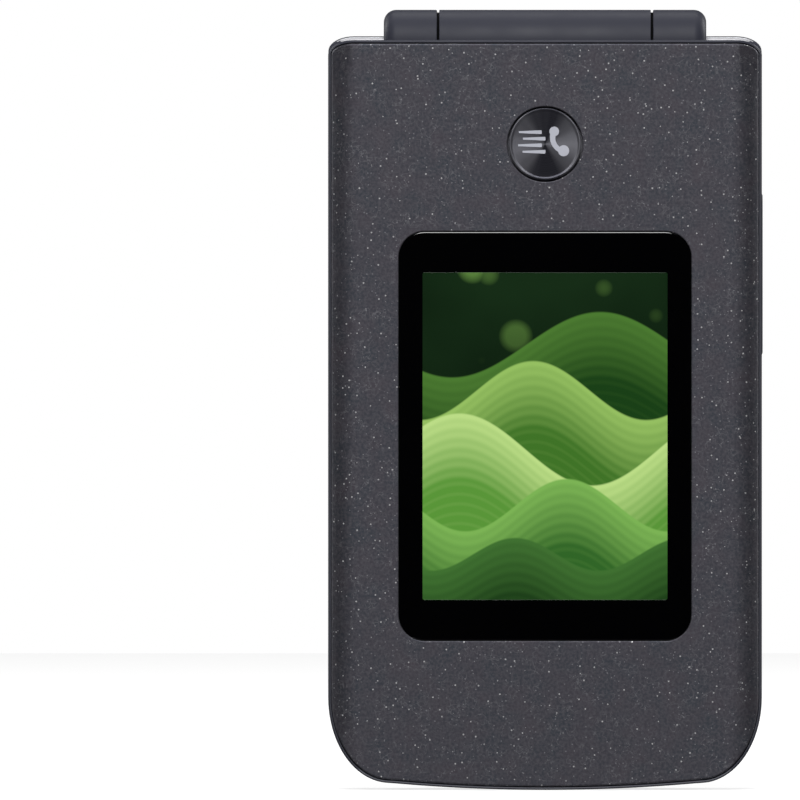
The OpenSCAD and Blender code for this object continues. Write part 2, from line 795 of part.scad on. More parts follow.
module knuckle() difference() {
    length = knuckle_end - knuckle_x;
    translate([knuckle_x, hinge_y, hinge_z]) rotate([0, 90, 0]) rotate_extrude()
        polygon(concat([[0, 0], [hinge_r, 0]],
            arc_points(hinge_r - hinge_end_r, length - hinge_end_r, hinge_end_r, hinge_end_r, 0, 90, 6),
            [[0, length]]));
    hinge_rod(pivot_r + pivot_play, 0, knuckle_x + pivot_len + pivot_end_gap);
}

module base_frame() color("#3b3d47") {
    difference() {
        union() {
            difference() {
                intersection() {
                    slab(y_deck_back, y_rear) outline(0, base_h);
                    rear_section(rim_sink, y_deck_back);
                }
                intersection() {
                    slab(y_deck_back, y_rear + 1) outline(rim_w, base_h);
                    behind_seam(0);
                }
                slab(y_deck_back - 1, y_floor) outline(base_wall, base_h);
                slab(y_floor_back, y_rear) outline(base_wall, base_h);
                front_top_round();
            }
            battery_ribs();
            saddle();
        }
        hinge_rod(sweep_r, -knuckle_x, knuckle_x);
        for (side = [0, 1]) mirror([side, 0, 0])
            hinge_rod(hinge_r - barrel_bite, knuckle_x - eps, knuckle_end - 1);
        for (p = BOSSES) rod_y(p[0], p[1], screw_r + screw_play, y_floor - 1, y_floor_back + 1);
        usb_cut();
        jack_cut();
        rocker_cut();
    }
    for (side = [0, 1]) mirror([side, 0, 0]) knuckle();
}

// Rounds the base's front top edge
module front_top_round() {
    bar(-body_w, body_w) translate([y_deck_back, base_h]) difference() {
        translate([-1, -edge_r]) square([edge_r + 1, edge_r + 1]);
        translate([edge_r, -edge_r]) circle(edge_r);
    }
}

module usb_cut() {
    box([usb_x - 1, usb_x + usb[0] + 2 * usb_gap], [y_board_back - usb_gap, y_board_back + usb[1] + usb_gap],
        [usb_z - usb[2] / 2 - usb_gap, usb_z + usb[2] / 2 + usb_gap]);
}

module jack_cut() {
    side_x = -body_w / 2;
    half = jack_body_r + jack_gap;
    rod_x(-body_w, 0, jack_y, jack_z, jack_nose_r + fit);
    box([side_x + base_wall, side_x + jack_depth + jack_tail + 2 * jack_gap],
        [jack_y - half, jack_y + half], [jack_z - half, jack_z + half]);
}

module rocker_cut() {
    rocker_slot(0, body_w, rocker_play);
    box([switch_x - switch_room, body_w / 2 - base_wall],
        [y_board_back, rocker_y + rocker_w / 2 + rocker_room_side],
        [rocker_z - rocker_len / 2 - rocker_room_end, rocker_z + rocker_len / 2 + rocker_room_end]);
}

module keypad_fascia() color("#1b1c20") {
    difference() {
        slab(y_deck, y_deck_back) outline(deck_inset, base_h);
        for (key = KEYS) key_plate(key, play, y_deck - 1, y_deck_back + 1);
        rod_y(0, nav_z, nav_d / 2 + play, y_deck - 1, y_deck_back + 1);
        rod_y(0, mic_z, mic_hole_r, y_deck - 1, y_deck_back + 1);
        hinge_sweep(sweep_r, hinge_r + fit);
    }
    for (p = BOSSES) difference() {
        rod_y(p[0], p[1], boss_r, y_deck_back - eps, y_floor - fit);
        rod_y(p[0], p[1], screw_r + fit, y_deck_back + boss_end, y_floor);
    }
}

// The outline of a key, grown by extra
module key_plate(key, extra, from, to)
    plate(key[1], key[2], key[3] + 2 * extra, key[4] + 2 * extra, key_corner_r + extra, from, to);

module key_cap(key) color("#2b2c31") {
    key_plate(key, 0, y_deck - key_rise, key_back);
    key_plate(key, play + key_flange, y_deck_back + key_flange_gap, key_back);
}

module nav_ring() color("#8c8e95") difference() {
    union() {
        rod_y(0, nav_z, nav_d / 2, y_deck - nav_rise, y_deck_back + nav_depth);
        rod_y(0, nav_z, nav_d / 2 + play + nav_flange, y_deck_back + nav_flange_gap,
            y_deck_back + nav_depth);
    }
    rod_y(0, nav_z, ok_key_d / 2 + play, y_deck - 1, y_deck_back + 1);
}

module ok_key() color("#2b2c31")
    rod_y(0, nav_z, ok_key_d / 2, y_deck - key_rise, key_back);

// Sheet of metal domes under the keys
module dome_sheet() color("#c9c9c4") {
    difference() {
        slab(y_dome_sheet, y_board - fit / 2) difference() {
            outline(base_wall + dome_sheet_in, base_h);
            translate([-far, nav_z + side_key_dz + side_key_h]) square([2 * far, far]);
        }
        boss_holes();
    }
    for (key = concat(KEYS, [["ok", 0, nav_z]]))
        rod_y(key[1], key[2], dome_r, y_dome_sheet - dome_h, y_dome_sheet + eps);
}

module boss_holes() {
    for (p = BOSSES) rod_y(p[0], p[1], boss_r + boss_play, y_deck_back, y_floor);
}

module main_board() color("#1f5a3c") difference() {
    slab(y_board, y_board_back) difference() {
        outline(base_wall + board_in, base_h);
        translate([-far, hinge_z - sweep_r - saddle_wall - board_saddle_gap]) square([2 * far, far]);
    }
    boss_holes();
    box([-body_w, -body_w / 2 + jack_depth + jack_tail + 2 * jack_gap], [y_board - 1, y_board_back + 1],
        [jack_z - jack_body_r - 2 * jack_gap, jack_z + jack_body_r + 2 * jack_gap]);
    box([switch_x + switch_strip_t - 2 * fit, body_w], [y_board - 1, y_board_back + 1],
        [rocker_z - rocker_len / 2 - rocker_room_end, rocker_z + rocker_len / 2 + rocker_room_end]);
}

module shield_can() color("silver")
    plate(0, shield_z, shield_w, shield_h, shield_r, y_board_back + fit, y_board_back + shield_t);

module microphone() color("silver")
    box([-mic[0] / 2, mic[0] / 2], [y_deck_back + mic_gap, y_dome_sheet - fit],
        [mic_z - mic[1] / 2, mic_z + mic[1] / 2]);

module battery() color("#d5d6d8")
    plate(0, battery_z + battery_h / 2, battery_w, battery_h, battery_r,
        y_floor_back + battery_gap, y_floor_back + battery_gap + battery_t);

module battery_contacts() color("#b5762a")
    box([contacts_x - contacts[0] / 2, contacts_x + contacts[0] / 2],
        [y_floor_back + fit, y_floor_back + contacts[1]],
        [battery_top + contacts_gap, battery_top + contacts_gap + contacts[2]]);

module sim_holder() color("silver")
    plate(sim_x, battery_top + sim_gap + sim[2] / 2, sim[0], sim[2], sim_r,
        y_floor_back + fit, y_floor_back + sim[1]);

module antenna() color("#b5762a")
    plate(0, antenna_z, antenna[0], antenna[2], antenna_r, y_floor_back + fit, y_floor_back + antenna[1]);

module loudspeaker() color("#1c1c1e")
    plate(side_feature_x, camera_z, speaker_w, speaker_h, speaker_r,
        y_floor_back + fit, y_rear_in - speaker_gap);

module camera_module() color("#1c1c1e") {
    box([-camera_w / 2, camera_w / 2], [y_floor_back + fit, y_floor_back + camera_t],
        [camera_z - camera_w / 2, camera_z + camera_w / 2]);
    rod_y(0, camera_z, camera_barrel_r, y_floor_back + camera_t - chip_lap, y_rear - camera_barrel_gap);
}

module camera_lens() color("#9a9ca4")
    rod_y(0, camera_z, lens_r, y_rear - lens_from, y_rear - lens_to);

module flash_led() color("#f2e9c0") {
    chip_from = y_rear_in - flash_base_gap;
    box([-side_feature_x - flash_base_w / 2, -side_feature_x + flash_base_w / 2],
        [y_floor_back + fit, chip_from], [camera_z - flash_base_h / 2, camera_z + flash_base_h / 2]);
    rod_y(-side_feature_x, camera_z, flash_chip_r, chip_from - chip_lap, y_rear_in - flash_chip_gap);
}

module usb_socket() color("silver") difference() {
    box([usb_x, usb_x + usb[0]], [y_board_back + fit, y_board_back + usb[1]],
        [usb_z - usb[2] / 2, usb_z + usb[2] / 2]);
    difference() {
        translate([usb_x - 1, y_board_back + (usb[1] + fit) / 2, usb_z]) rotate([90, 0, 90])
            linear_extrude(usb[0]) round_slot(usb_plug_t, usb_plug_w);
        box([usb_x + usb_tongue_in, usb_x + usb[0]],
            [y_board_back + usb_tongue_y, y_board_back + usb_tongue_y + usb_tongue_t],
            [usb_z - usb_tongue_w / 2, usb_z + usb_tongue_w / 2]);
    }
}

module headphone_socket() color("#1c1c1e") {
    side_x = -body_w / 2;
    difference() {
        union() {
            rod_x(side_x, side_x + base_wall + 1, jack_y, jack_z, jack_nose_r);
            box([side_x + base_wall + jack_gap, side_x + jack_depth + jack_tail],
                [jack_y - jack_body_r, jack_y + jack_body_r], [jack_z - jack_body_r, jack_z + jack_body_r]);
        }
        rod_x(side_x - 1, side_x + jack_depth, jack_y, jack_z, jack_r);
    }
}

// Two push switches on a strip, with the rib that the rocker tilts on
module volume_switches() color("silver") {
    face_x = switch_x + switch_strip_t;
    switch_y = [rocker_y - switch_w / 2, rocker_y + switch_w / 2];
    box([switch_x, face_x], [y_board_back + fit, rocker_y + switch_strip_over],
        [rocker_z - switch_strip_len / 2, rocker_z + switch_strip_len / 2]);
    for (z = [-switch_pitch / 2, switch_pitch / 2]) box([face_x - eps, face_x + switch_reach], switch_y,
        [rocker_z + z - switch_len / 2, rocker_z + z + switch_len / 2]);
    box([face_x - eps, rocker_flange_x - rocker_flange_t - fit], switch_y,
        [rocker_z - pivot_rib_t / 2, rocker_z + pivot_rib_t / 2]);
}

// The rocker's outline between two places, grown by extra
module rocker_slot(from, to, extra) {
    translate([from, rocker_y, rocker_z]) rotate([90, 0, 90]) linear_extrude(to - from)
        round_slot(rocker_w + 2 * extra, rocker_len + 2 * extra);
}

module volume_rocker() color("#3b3d47") {
    half_w = rocker_w / 2 + rocker_flange_side;
    half_h = rocker_len / 2 + rocker_flange_end;
    rocker_slot(rocker_flange_x - rocker_lap, body_w / 2 + rocker_rise, 0);
    box([rocker_flange_x - rocker_flange_t, rocker_flange_x], [rocker_y - half_w, rocker_y + half_w],
        [rocker_z - half_h, rocker_z + half_h]);
}

module base_screws() color("silver") for (p = BOSSES) {
    rod_y(p[0], p[1], screw_r, y_floor - base_screw_grip, y_floor_back + base_screw_head_h / 2);
    rod_y(p[0], p[1], base_screw_head_r, y_floor_back + fit / 2, y_floor_back + base_screw_head_h);
}

// ---------- rear cover and what it carries ----------

module rear_cover() color("#45474f") difference() {
    intersection() {
        slab(y_seam - bend_d - 1, y_rear) outline(cover_inset, base_h);
        rear_section(0, y_seam - bend_d - 1);
        behind_seam(fit);
    }
    intersection() {
        slab(y_seam - bend_d - 2, y_rear_in) outline(cover_inset + rear_wall, base_h);
        rear_section(rear_wall, y_seam - bend_d - 2);
    }
    hinge_rod(sweep_r, -knuckle_end - hinge_gap, knuckle_end + hinge_gap);
    rod_y(0, camera_z, ring_d / 2 + fit, y_rear_in - 1, y_rear + 1);
    slab(y_rear_in - 1, y_rear + 1) {
        for (i = [0:slot_count - 1])
            translate([side_feature_x + (i - (slot_count - 1) / 2) * slot_pitch, camera_z])
                round_slot(slot_w, slot_h);
        translate([-side_feature_x, camera_z]) round_slot(flash_w + 2 * fit, flash_h + 2 * fit);
    }
    box([-notch_w / 2, notch_w / 2], [y_rear_in - notch_depth, y_rear + 1], [-1, cover_inset + notch_h]);
}

module camera_ring() color("#17171a") {
    ring_r = ring_d / 2;
    glass_r = glass_d / 2;
    back = y_ring - y_rear_in + fit;
    flange_back = back + ring_flange_t;
    translate([0, y_ring, camera_z]) rotate([90, 0, 0]) rotate_extrude() polygon([
        [glass_r, 0], [ring_r - ring_edge, 0], [ring_r, ring_edge], [ring_r, back],
        [ring_r + ring_flange, back], [ring_r + ring_flange, flange_back], [glass_r - ring_seat, flange_back],
        [glass_r - ring_seat, ring_seat_y], [glass_r, ring_seat_y]]);
}

module camera_window() color("#4b4c50")
    rod_y(0, camera_z, glass_d / 2 - fit, y_ring - glass_sink - glass_t, y_ring - glass_sink);

module flash_window() color("#c9bdb9")
    slab(y_rear_in + flash_window_gap, y_rear + flash_window_rise)
        translate([-side_feature_x, camera_z]) round_slot(flash_w, flash_h);

// ---------- the assembly ----------

lid_frame();
lid_cover();
outer_window();
outer_display();
call_key();
call_key_switch();
lid_board();
vibration_motor();
main_display();
lid_inner_panel();
inner_window();
earpiece_receiver();
earpiece_grille();
lid_magnet();
lid_screws();
lid_bumpers();
hinge_cartridge();
hinge_stub();
hinge_flex();
base_frame();
keypad_fascia();
dome_sheet();
main_board();
shield_can();
microphone();
battery();
battery_contacts();
sim_holder();
antenna();
loudspeaker();
camera_module();
camera_lens();
flash_led();
usb_socket();
headphone_socket();
volume_switches();
base_screws();
volume_rocker();
nav_ring();
ok_key();
rear_cover();
camera_ring();
camera_window();
flash_window();
for (key = KEYS) key_cap(key);
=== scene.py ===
"""Flip phone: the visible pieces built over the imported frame, with their materials, lights and camera."""
import math
import bmesh
import bpy
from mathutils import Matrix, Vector
from mathutils.geometry import delaunay_2d_cdt

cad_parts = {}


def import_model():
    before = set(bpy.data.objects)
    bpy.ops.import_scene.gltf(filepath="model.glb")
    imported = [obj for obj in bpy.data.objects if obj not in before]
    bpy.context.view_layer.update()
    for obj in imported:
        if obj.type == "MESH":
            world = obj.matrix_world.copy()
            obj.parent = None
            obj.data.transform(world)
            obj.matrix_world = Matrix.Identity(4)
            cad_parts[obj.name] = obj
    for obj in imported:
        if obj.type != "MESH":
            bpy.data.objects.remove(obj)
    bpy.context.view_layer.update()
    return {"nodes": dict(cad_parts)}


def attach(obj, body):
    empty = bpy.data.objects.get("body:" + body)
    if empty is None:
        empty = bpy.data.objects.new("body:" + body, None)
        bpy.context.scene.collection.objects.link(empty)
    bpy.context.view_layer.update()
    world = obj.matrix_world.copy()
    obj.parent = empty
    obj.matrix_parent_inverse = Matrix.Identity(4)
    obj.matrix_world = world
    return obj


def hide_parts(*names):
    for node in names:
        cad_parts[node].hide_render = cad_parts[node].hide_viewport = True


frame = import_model()
NODES = frame["nodes"]

MM = 0.001

# ---------- sizes in millimetres, the same as the frame's ----------

BODY_W = 59.0
BASE_TOP, LID_TOP = 102.5, 101.95
BOTTOM_R = 235.0
CORNER_W, CORNER_H = 8.4, 11.6
TOP_CORNER_W, TOP_CORNER_H = 3.5, 2.0

Y_LID, Y_LID_SEAT, Y_LID_BACK, Y_PANEL = -9.6, -6.8, -3.8, -2.7
Y_DECK, Y_DECK_BACK, Y_KEY_BACK = -2.2, -1.2, -0.8
Y_FLOOR, Y_FLOOR_BACK = 1.85, 2.55
Y_SEAM, Y_REAR, Y_RING = 5.0, 8.8, 9.6
LID_ROLL, REAR_ROLL = (4.0, 2.8), (7.5, 3.8)
COVER_WALL, REAR_WALL, SHELL_WALL = 1.2, 1.1, 1.4
RIM_W, RIM_SINK, RIM_FILLET, COVER_INSET = 0.35, 0.15, 0.28, 0.47
BEND_H, BEND_D = 15.5, 1.9
FIT = 0.05

HINGE_Y, HINGE_Z, HINGE_R, HINGE_BORE_R = -0.4, 101.6, 4.5, 2.1
BARREL_X, KNUCKLE_X, KNUCKLE_END, SWEEP_END = 14.4, 14.7, 21.95, 22.25
BARREL_BORE_R, BARREL_FILLET, KNUCKLE_FILLET, HINGE_END_R = 3.2, 0.07, 0.16, 1.7
SWEEP_R, SADDLE_WALL = 4.8, 0.8
WASHER_R, WASHER_W = 4.15, 0.298

WINDOW_W, WINDOW_H, WINDOW_R, WINDOW_Z = 39.7, 55.6, 3.5, 48.1
PICTURE = (33.3, 44.5)
CALL_KEY_Z, CALL_KEY_R, CALL_KEY_RISE, CALL_KEY_GAP = 87.8, 4.925, 0.1, 0.2
CALL_KEY_FLANGE_R = 5.6
MAIN_Z, MAIN_PICTURE, INNER_WINDOW, INNER_WINDOW_R = 55.0, (48.8, 65.0), (54.4, 77.0), 2.5
PANEL_INSET = 1.2
LID_SCREWS = [(side * x, z) for x, z in ((22.0, 6.5), (25.9, 96.55)) for side in (-1, 1)]
RECEIVER_Z = 9.0

CAMERA_Z, RING_R, GLASS_R = 85.6, 5.8, 4.75
SLOT_X = (8.35, 11.65, 14.95)
FLASH_X = -11.65
NOTCH_W, NOTCH_H, NOTCH_R, NOTCH_Z = 11.7, 3.4, 0.5, 0.1
ROCKER_Y, ROCKER_Z, ROCKER_W, ROCKER_H, ROCKER_RISE = 1.5, 70.1, 2.6, 22.2, 0.15
JACK_Y, JACK_Z, JACK_R = 2.45, 73, 2.25
USB_Y, USB_Z = (0.45, 3.85), (15.4, 24.6)
BATTERY_W, BATTERY_Z, BATTERY_H = 39.0, 14.0, 52.0

NAV_Z, NAV_R, OK_R, NAV_FLANGE_R = 78.0, 10.4, 4.85, 11.15
KEY_ROWS = [("star", "0", "hash"), ("7", "8", "9"), ("4", "5", "6"), ("1", "2", "3")]
KEY_W, KEY_H, KEY_CORNER_R, KEY_GAP, KEY_RISE = 16.6, 9.8, 2, 0.25, 0.15
KEY_PITCH_X, KEY_PITCH_Z, KEY_ROW_Z = 18.2, 12.3, 15.2
SIDE_KEY_W, SIDE_KEY_H, SIDE_KEY_X, SIDE_KEY_DZ = 12.5, 6.4, 19.6, 11.5
MICROPHONE_R, MICROPHONE_Z = 0.5, 5.8

# ---------- sizes of the studio in metres ----------

WALL_W, WALL_H = 1.9, 3.6


# ---------- meshes ----------

def link_object(name, data):
    obj = bpy.data.objects.new(name, data)
    bpy.context.scene.collection.objects.link(obj)
    return obj


def mesh_object(name, vertices, faces):
    """A mesh from vertices in millimetres, with its normals outwards."""
    mesh = bpy.data.meshes.new(name)
    mesh.from_pydata([tuple(c * MM for c in v) for v in vertices], [], faces)
    bm = bmesh.new()
    bm.from_mesh(mesh)
    bmesh.ops.remove_doubles(bm, verts=bm.verts, dist=1e-7)
    bmesh.ops.recalc_face_normals(bm, faces=bm.faces)
    bm.to_mesh(mesh)
    bm.free()
    return link_object(name, mesh)


def new_object(name, vertices, faces, material, body, replaces=(), slot=None, smooth=True):
    """A visible piece from vertices in millimetres, riding on a body."""
    obj = mesh_object(name, vertices, faces)
    finish_piece(obj, material, body, replaces, smooth)
    return obj


def finish_piece(obj, material, body, replaces=(), smooth=True):
    """Shading, material, body and the nodes that a piece stands for."""
    if smooth:
        soften(obj)
    obj.data.materials.clear()
    obj.data.materials.append(material)
    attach(obj, body)
    if replaces:
        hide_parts(*replaces)


def soften(obj, angle=35):
    """Smooth shading with sharp edges kept, and normals that lean on the larger faces. Faces that lie flat
    across Y are shaded flat, so that the fillets beside them leave no streaks."""
    mesh = obj.data
    for polygon in mesh.polygons:
        polygon.use_smooth = abs(polygon.normal.y) < 0.99999
    bm = bmesh.new()
    bm.from_mesh(mesh)
    for edge in bm.edges:
        if len(edge.link_faces) == 2:
            edge.smooth = edge.calc_face_angle(0) < math.radians(angle)
    bm.to_mesh(mesh)
    bm.free()
    weights = obj.modifiers.new("weights", "WEIGHTED_NORMAL")
    weights.keep_sharp = True
    weights.weight = 100


def apply_modifiers(obj):
    """The mesh as its modifiers leave it, with none left on the object."""
    graph = bpy.context.evaluated_depsgraph_get()
    mesh = bpy.data.meshes.new_from_object(obj.evaluated_get(graph))
    obj.modifiers.clear()
    obj.data = mesh


def arc(cx, cz, rx, rz, start, end, steps):
    """Points of an elliptical arc, angles in degrees."""
    out = []
    for i in range(steps + 1):
        a = math.radians(start + (end - start) * i / steps)
        out.append((cx + rx * math.cos(a), cz + rz * math.sin(a)))
    return out


def outline(inset, top):
    """The phone's front outline moved in by inset, counter-clockwise, always with as many points."""
    join_x = BODY_W / 2 - CORNER_W
    corner_z = BOTTOM_R - math.sqrt(BOTTOM_R ** 2 - join_x ** 2) + CORNER_H
    join = math.degrees(math.atan(join_x / BOTTOM_R * CORNER_W / CORNER_H))
    end = math.degrees(math.asin((join_x + CORNER_W * math.sin(math.radians(join))) / BOTTOM_R))
    bottom = arc(0, BOTTOM_R, BOTTOM_R - inset, BOTTOM_R - inset, -90, -90 + end, 18)
    corner = arc(join_x, corner_z, CORNER_W - inset, CORNER_H - inset, -90 + join, 0, 22)
    side = [(BODY_W / 2 - inset, corner_z + (top - TOP_CORNER_H - corner_z) * i / 24) for i in range(1, 24)]
    radii = max(TOP_CORNER_W - inset, 0.15), max(TOP_CORNER_H - inset, 0.15)
    top_corner = arc(BODY_W / 2 - inset - radii[0], top - inset - radii[1], radii[0], radii[1], 0, 90, 10)
    edge = [(top_corner[-1][0] * (1 - i / 40), top - inset) for i in range(1, 41)]
    half = bottom[1:-1] + corner + side + top_corner + edge[:-1]
    return [(0, inset)] + half + [edge[-1]] + [(-x, z) for x, z in reversed(half)]


def rounded_rect(w, h, r, x=0.0, z=0.0, grow=0.0, steps=10):
    """A rounded rectangle's points, counter-clockwise, grown outwards by grow."""
    w, h, r = w + 2 * grow, h + 2 * grow, max(r + grow, 0.02)
    out = []
    for cx, cz, start in ((1, 1, 0), (-1, 1, 90), (-1, -1, 180), (1, -1, 270)):
        out += arc(x + cx * (w / 2 - r), z + cz * (h / 2 - r), r, r, start, start + 90, steps)
    return out


def circle(r, x=0.0, z=0.0, grow=0.0, steps=96):
    return arc(x, z, r + grow, r + grow, 0, 360 * (1 - 1 / steps), steps - 1)


def rect_hole(w, h, r, x, z, gap=0.0):
    """A hole's loop, as a function of how far it moves into the material."""
    return lambda grow: rounded_rect(w, h, r, x, z, gap + grow)


def round_hole(r, x, z, steps=96):
    return lambda grow: circle(r, x, z, grow, steps)


def rect_piece(w, h, r, x, z):
    """A plate's loop, as a function of how far it moves into the material."""
    return lambda inset: rounded_rect(w, h, r, x, z, -inset)


def roll(x, sizes):
    """How far a face that rolls down at its sides lies below its middle, at x."""
    w, d = sizes
    r = (w * w + d * d) / (2 * d)
    over = max(abs(x) - (BODY_W / 2 - w), 0)
    return r - math.sqrt(max(r * r - over * over, 0))


def fillet(r, steps=4):
    """Rounded edge profile from the face to the wall: pairs of inset and depth."""
    return [(r * (1 - math.sin(a)), r * (1 - math.cos(a)))
            for a in (math.pi / 2 * i / steps for i in range(steps + 1))]


def fill(loops, columns=()):
    """Triangles between an outer loop and its holes, as points and faces. The points start with the
    loops' own, in their order. Columns are lines up the face, at which it may bend."""
    points, edges = [], []
    for loop in loops:
        n = len(points)
        points += loop
        edges += [(n + i, n + (i + 1) % len(loop)) for i in range(len(loop))]
    for column in columns:
        n = len(points)
        points += column
        edges += [(n + i, n + i + 1) for i in range(len(column) - 1)]
    vertices, _, faces, origins, _, _ = delaunay_2d_cdt([Vector(p) for p in points], edges, [], 0, 1e-9)
    own = [min(origin) for origin in origins]
    inside = [f for f in faces if is_inside(centre(f, vertices), loops)]
    return points, [tuple(own[i] for i in f) for f in inside]


def centre(face, vertices):
    return (sum(vertices[i][0] for i in face) / len(face), sum(vertices[i][1] for i in face) / len(face))


def is_inside(point, loops):
    """Whether a point lies in the outer loop and in no hole, by crossings."""
    x, z = point
    crossings = 0
    for loop in loops:
        for (ax, az), (bx, bz) in zip(loop, loop[1:] + loop[:1]):
            if (az > z) != (bz > z) and x < ax + (bx - ax) * (z - az) / (bz - az):
                crossings += 1
    return crossings % 2 == 1


def clear_of(loops, x, z, gap=0.3):
    return all(abs(px - x) + abs(pz - z) > gap for loop in loops for px, pz in loop)


def join_rings(faces, a, b, count):
    """Adds the faces between two rings of count points, whose first points are a and b."""
    for i in range(count):
        j = (i + 1) % count
        faces.append((a + i, a + j, b + j, b + i))


def sheet_mesh(outer, holes, face_y, back_y, way=1, edge=0.2, hole_edge=0.12, columns=(), skirt=None):
    """A closed plate with holes and rounded front edges. outer and holes are functions of how far the loop
    moves into the material; face_y and back_y give the two faces' depths at (x, z); way is 1 where the
    front faces -Y and -1 where it faces +Y; columns are x values at which the face is curved; skirt is the
    width of the wall that runs round the back, and its depth at (x, z)."""
    vertices, faces = [], []
    column_step = 4

    def add(points, depth):
        vertices.extend((x, depth(x, z), z) for x, z in points)
        return len(vertices) - len(points)

    for loop_of, r in [(outer, edge)] + [(hole, hole_edge) for hole in holes]:
        rings = []
        for inset, depth in fillet(r):
            rings.append(add(loop_of(inset), lambda x, z: face_y(x, z) + way * depth))
        if skirt and loop_of is outer:
            width, wall = skirt
            rings += [add(outer(0), wall), add(outer(width), wall), add(outer(width), back_y)]
        else:
            rings.append(add(loop_of(0), back_y))
        for a, b in zip(rings, rings[1:]):
            join_rings(faces, a, b, len(loop_of(0)))
    back_inset = skirt[0] if skirt else 0
    for inset, hole_inset, depth in ((edge, hole_edge, face_y), (back_inset, 0, back_y)):
        loops = [outer(inset)] + [hole(hole_inset) for hole in holes]
        heights = range(1, int(LID_TOP) + 1, column_step)
        lines = [[(x, z) for z in heights if is_inside((x, z), loops) and clear_of(loops, x, z)]
                 for x in columns]
        points, triangles = fill(loops, lines)
        n = add(points, depth)
        faces.extend(tuple(n + i for i in t) for t in triangles)
    return vertices, faces


def band_mesh(rings):
    """A closed ring round the outline, from rings of as many points each; the last joins the first."""
    vertices = [p for ring in rings for p in ring]
    n, count, faces = len(rings[0]), len(rings), []
    for k in range(count):
        join_rings(faces, k * n, (k + 1) % count * n, n)
    return vertices, faces


def stack_mesh(rings):
    """A closed form through rings of as many points each, with a flat face over the first and the last."""
    vertices = [p for ring in rings for p in ring]
    n, faces = len(rings[0]), []
    for k in range(len(rings) - 1):
        join_rings(faces, k * n, (k + 1) * n, n)
    return vertices, faces + [tuple(range(n)), tuple(range(len(vertices) - n, len(vertices)))]


def add_prism(vertices, faces, loop, y0, y1):
    """Adds a flat closed piece between two depths."""
    n, count = len(vertices), len(loop)
    for y in (y0, y1):
        vertices.extend((x, y, z) for x, z in loop)
    for face in fill([loop])[1]:
        faces.append(tuple(n + i for i in face))
        faces.append(tuple(n + count + i for i in reversed(face)))
    join_rings(faces, n, n + count, count)


def prisms(loops, y0, y1):
    """Flat closed pieces between two depths, as one mesh."""
    vertices, faces = [], []
    for loop in loops:
        add_prism(vertices, faces, loop, y0, y1)
    return vertices, faces


def lathe(profile, place, axis="y", steps=96):
    """A closed solid turned from (radius, along) points round an axis through place."""
    vertices, faces = [], []
    n = len(profile)
    for i in range(steps):
        a = 2 * math.pi * i / steps
        for r, h in profile:
            u, v = r * math.cos(a), r * math.sin(a)
            if axis == "y":
                vertices.append((place[0] + u, place[1] + h, place[2] + v))
            else:
                vertices.append((place[0] + h, place[1] + u, place[2] + v))
    for i in range(steps):
        j = (i + 1) % steps
        for k in range(n):
            m = (k + 1) % n
            if profile[k][0] < 1e-6 and profile[m][0] < 1e-6:
                continue
            faces.append((i * n + k, i * n + m, j * n + m, j * n + k))
    return vertices, faces


def lathe_object(name, profile, place, material, body, axis="y", steps=96, **more):
    return new_object(name, *lathe(profile, place, axis, steps), material, body, **more)


def flat_piece(name, loop, y0, y1, material, body, way=1, edge=0.2, holes=(), hole_edge=0.03, **more):
    """A flat plate from a loop function, its front at y0 and its back at y1."""
    vertices, faces = sheet_mesh(loop, holes, lambda x, z: y0, lambda x, z: y1, way, edge, hole_edge)
    return new_object(name, vertices, faces, material, body, **more)


def cut(obj, *tools):
    """Takes the tools' shapes out of obj, and removes them."""
    obj.modifiers.clear()
    for tool in tools:
        step = obj.modifiers.new("cut", "BOOLEAN")
        step.operation = "DIFFERENCE"
        step.solver = "EXACT"
        step.object = tool
    apply_modifiers(obj)
    for tool in tools:
        bpy.data.objects.remove(tool)
    soften(obj)


def rod_tool(r, start, end, y, z, steps):
    """A rod along X that only cuts others."""
    length = end - start
    return mesh_object("tool", *lathe([(0, 0), (r, 0), (r, length), (0, length)], (start, y, z), "x", steps))


def hinge_tool(r, start, end):
    return rod_tool(r, start, end, HINGE_Y, HINGE_Z, 128)


def side_sweeps(r, inner):
    """Rods on the hinge's axis at both sides, from inner outwards."""
    return [hinge_tool(r, -SWEEP_END, -inner), hinge_tool(r, inner, SWEEP_END)]


def box_tool(x, y, z):
    corners = [(a, b, c) for a in x for b in y for c in z]
    faces = [(0, 1, 3, 2), (4, 6, 7, 5), (0, 4, 5, 1), (2, 3, 7, 6), (0, 2, 6, 4), (1, 5, 7, 3)]
    return mesh_object("tool", corners, faces)


def bar_mesh(profile, x0, x1):
    """A bar along X from (y, z) points."""
    n = len(profile)
    vertices = [(x, y, z) for x in (x0, x1) for y, z in profile]
    faces = [tuple(range(n)), tuple(range(2 * n - 1, n - 1, -1))]
    faces += [(i, n + i, n + (i + 1) % n, (i + 1) % n) for i in range(n)]
    return vertices, faces


def relief_tool():
    """The wedge that the lid's inner top edge loses."""
    start, rise, top = Y_LID_BACK - 1.2, LID_TOP + 0.15, LID_TOP + 2
    low = rise - 1.6
    profile = [(start, rise), (Y_PANEL, low), (Y_PANEL + 1, low), (Y_PANEL + 1, top), (start, top)]
    return mesh_object("tool", *bar_mesh(profile, -BODY_W, BODY_W))


# ---------- materials ----------

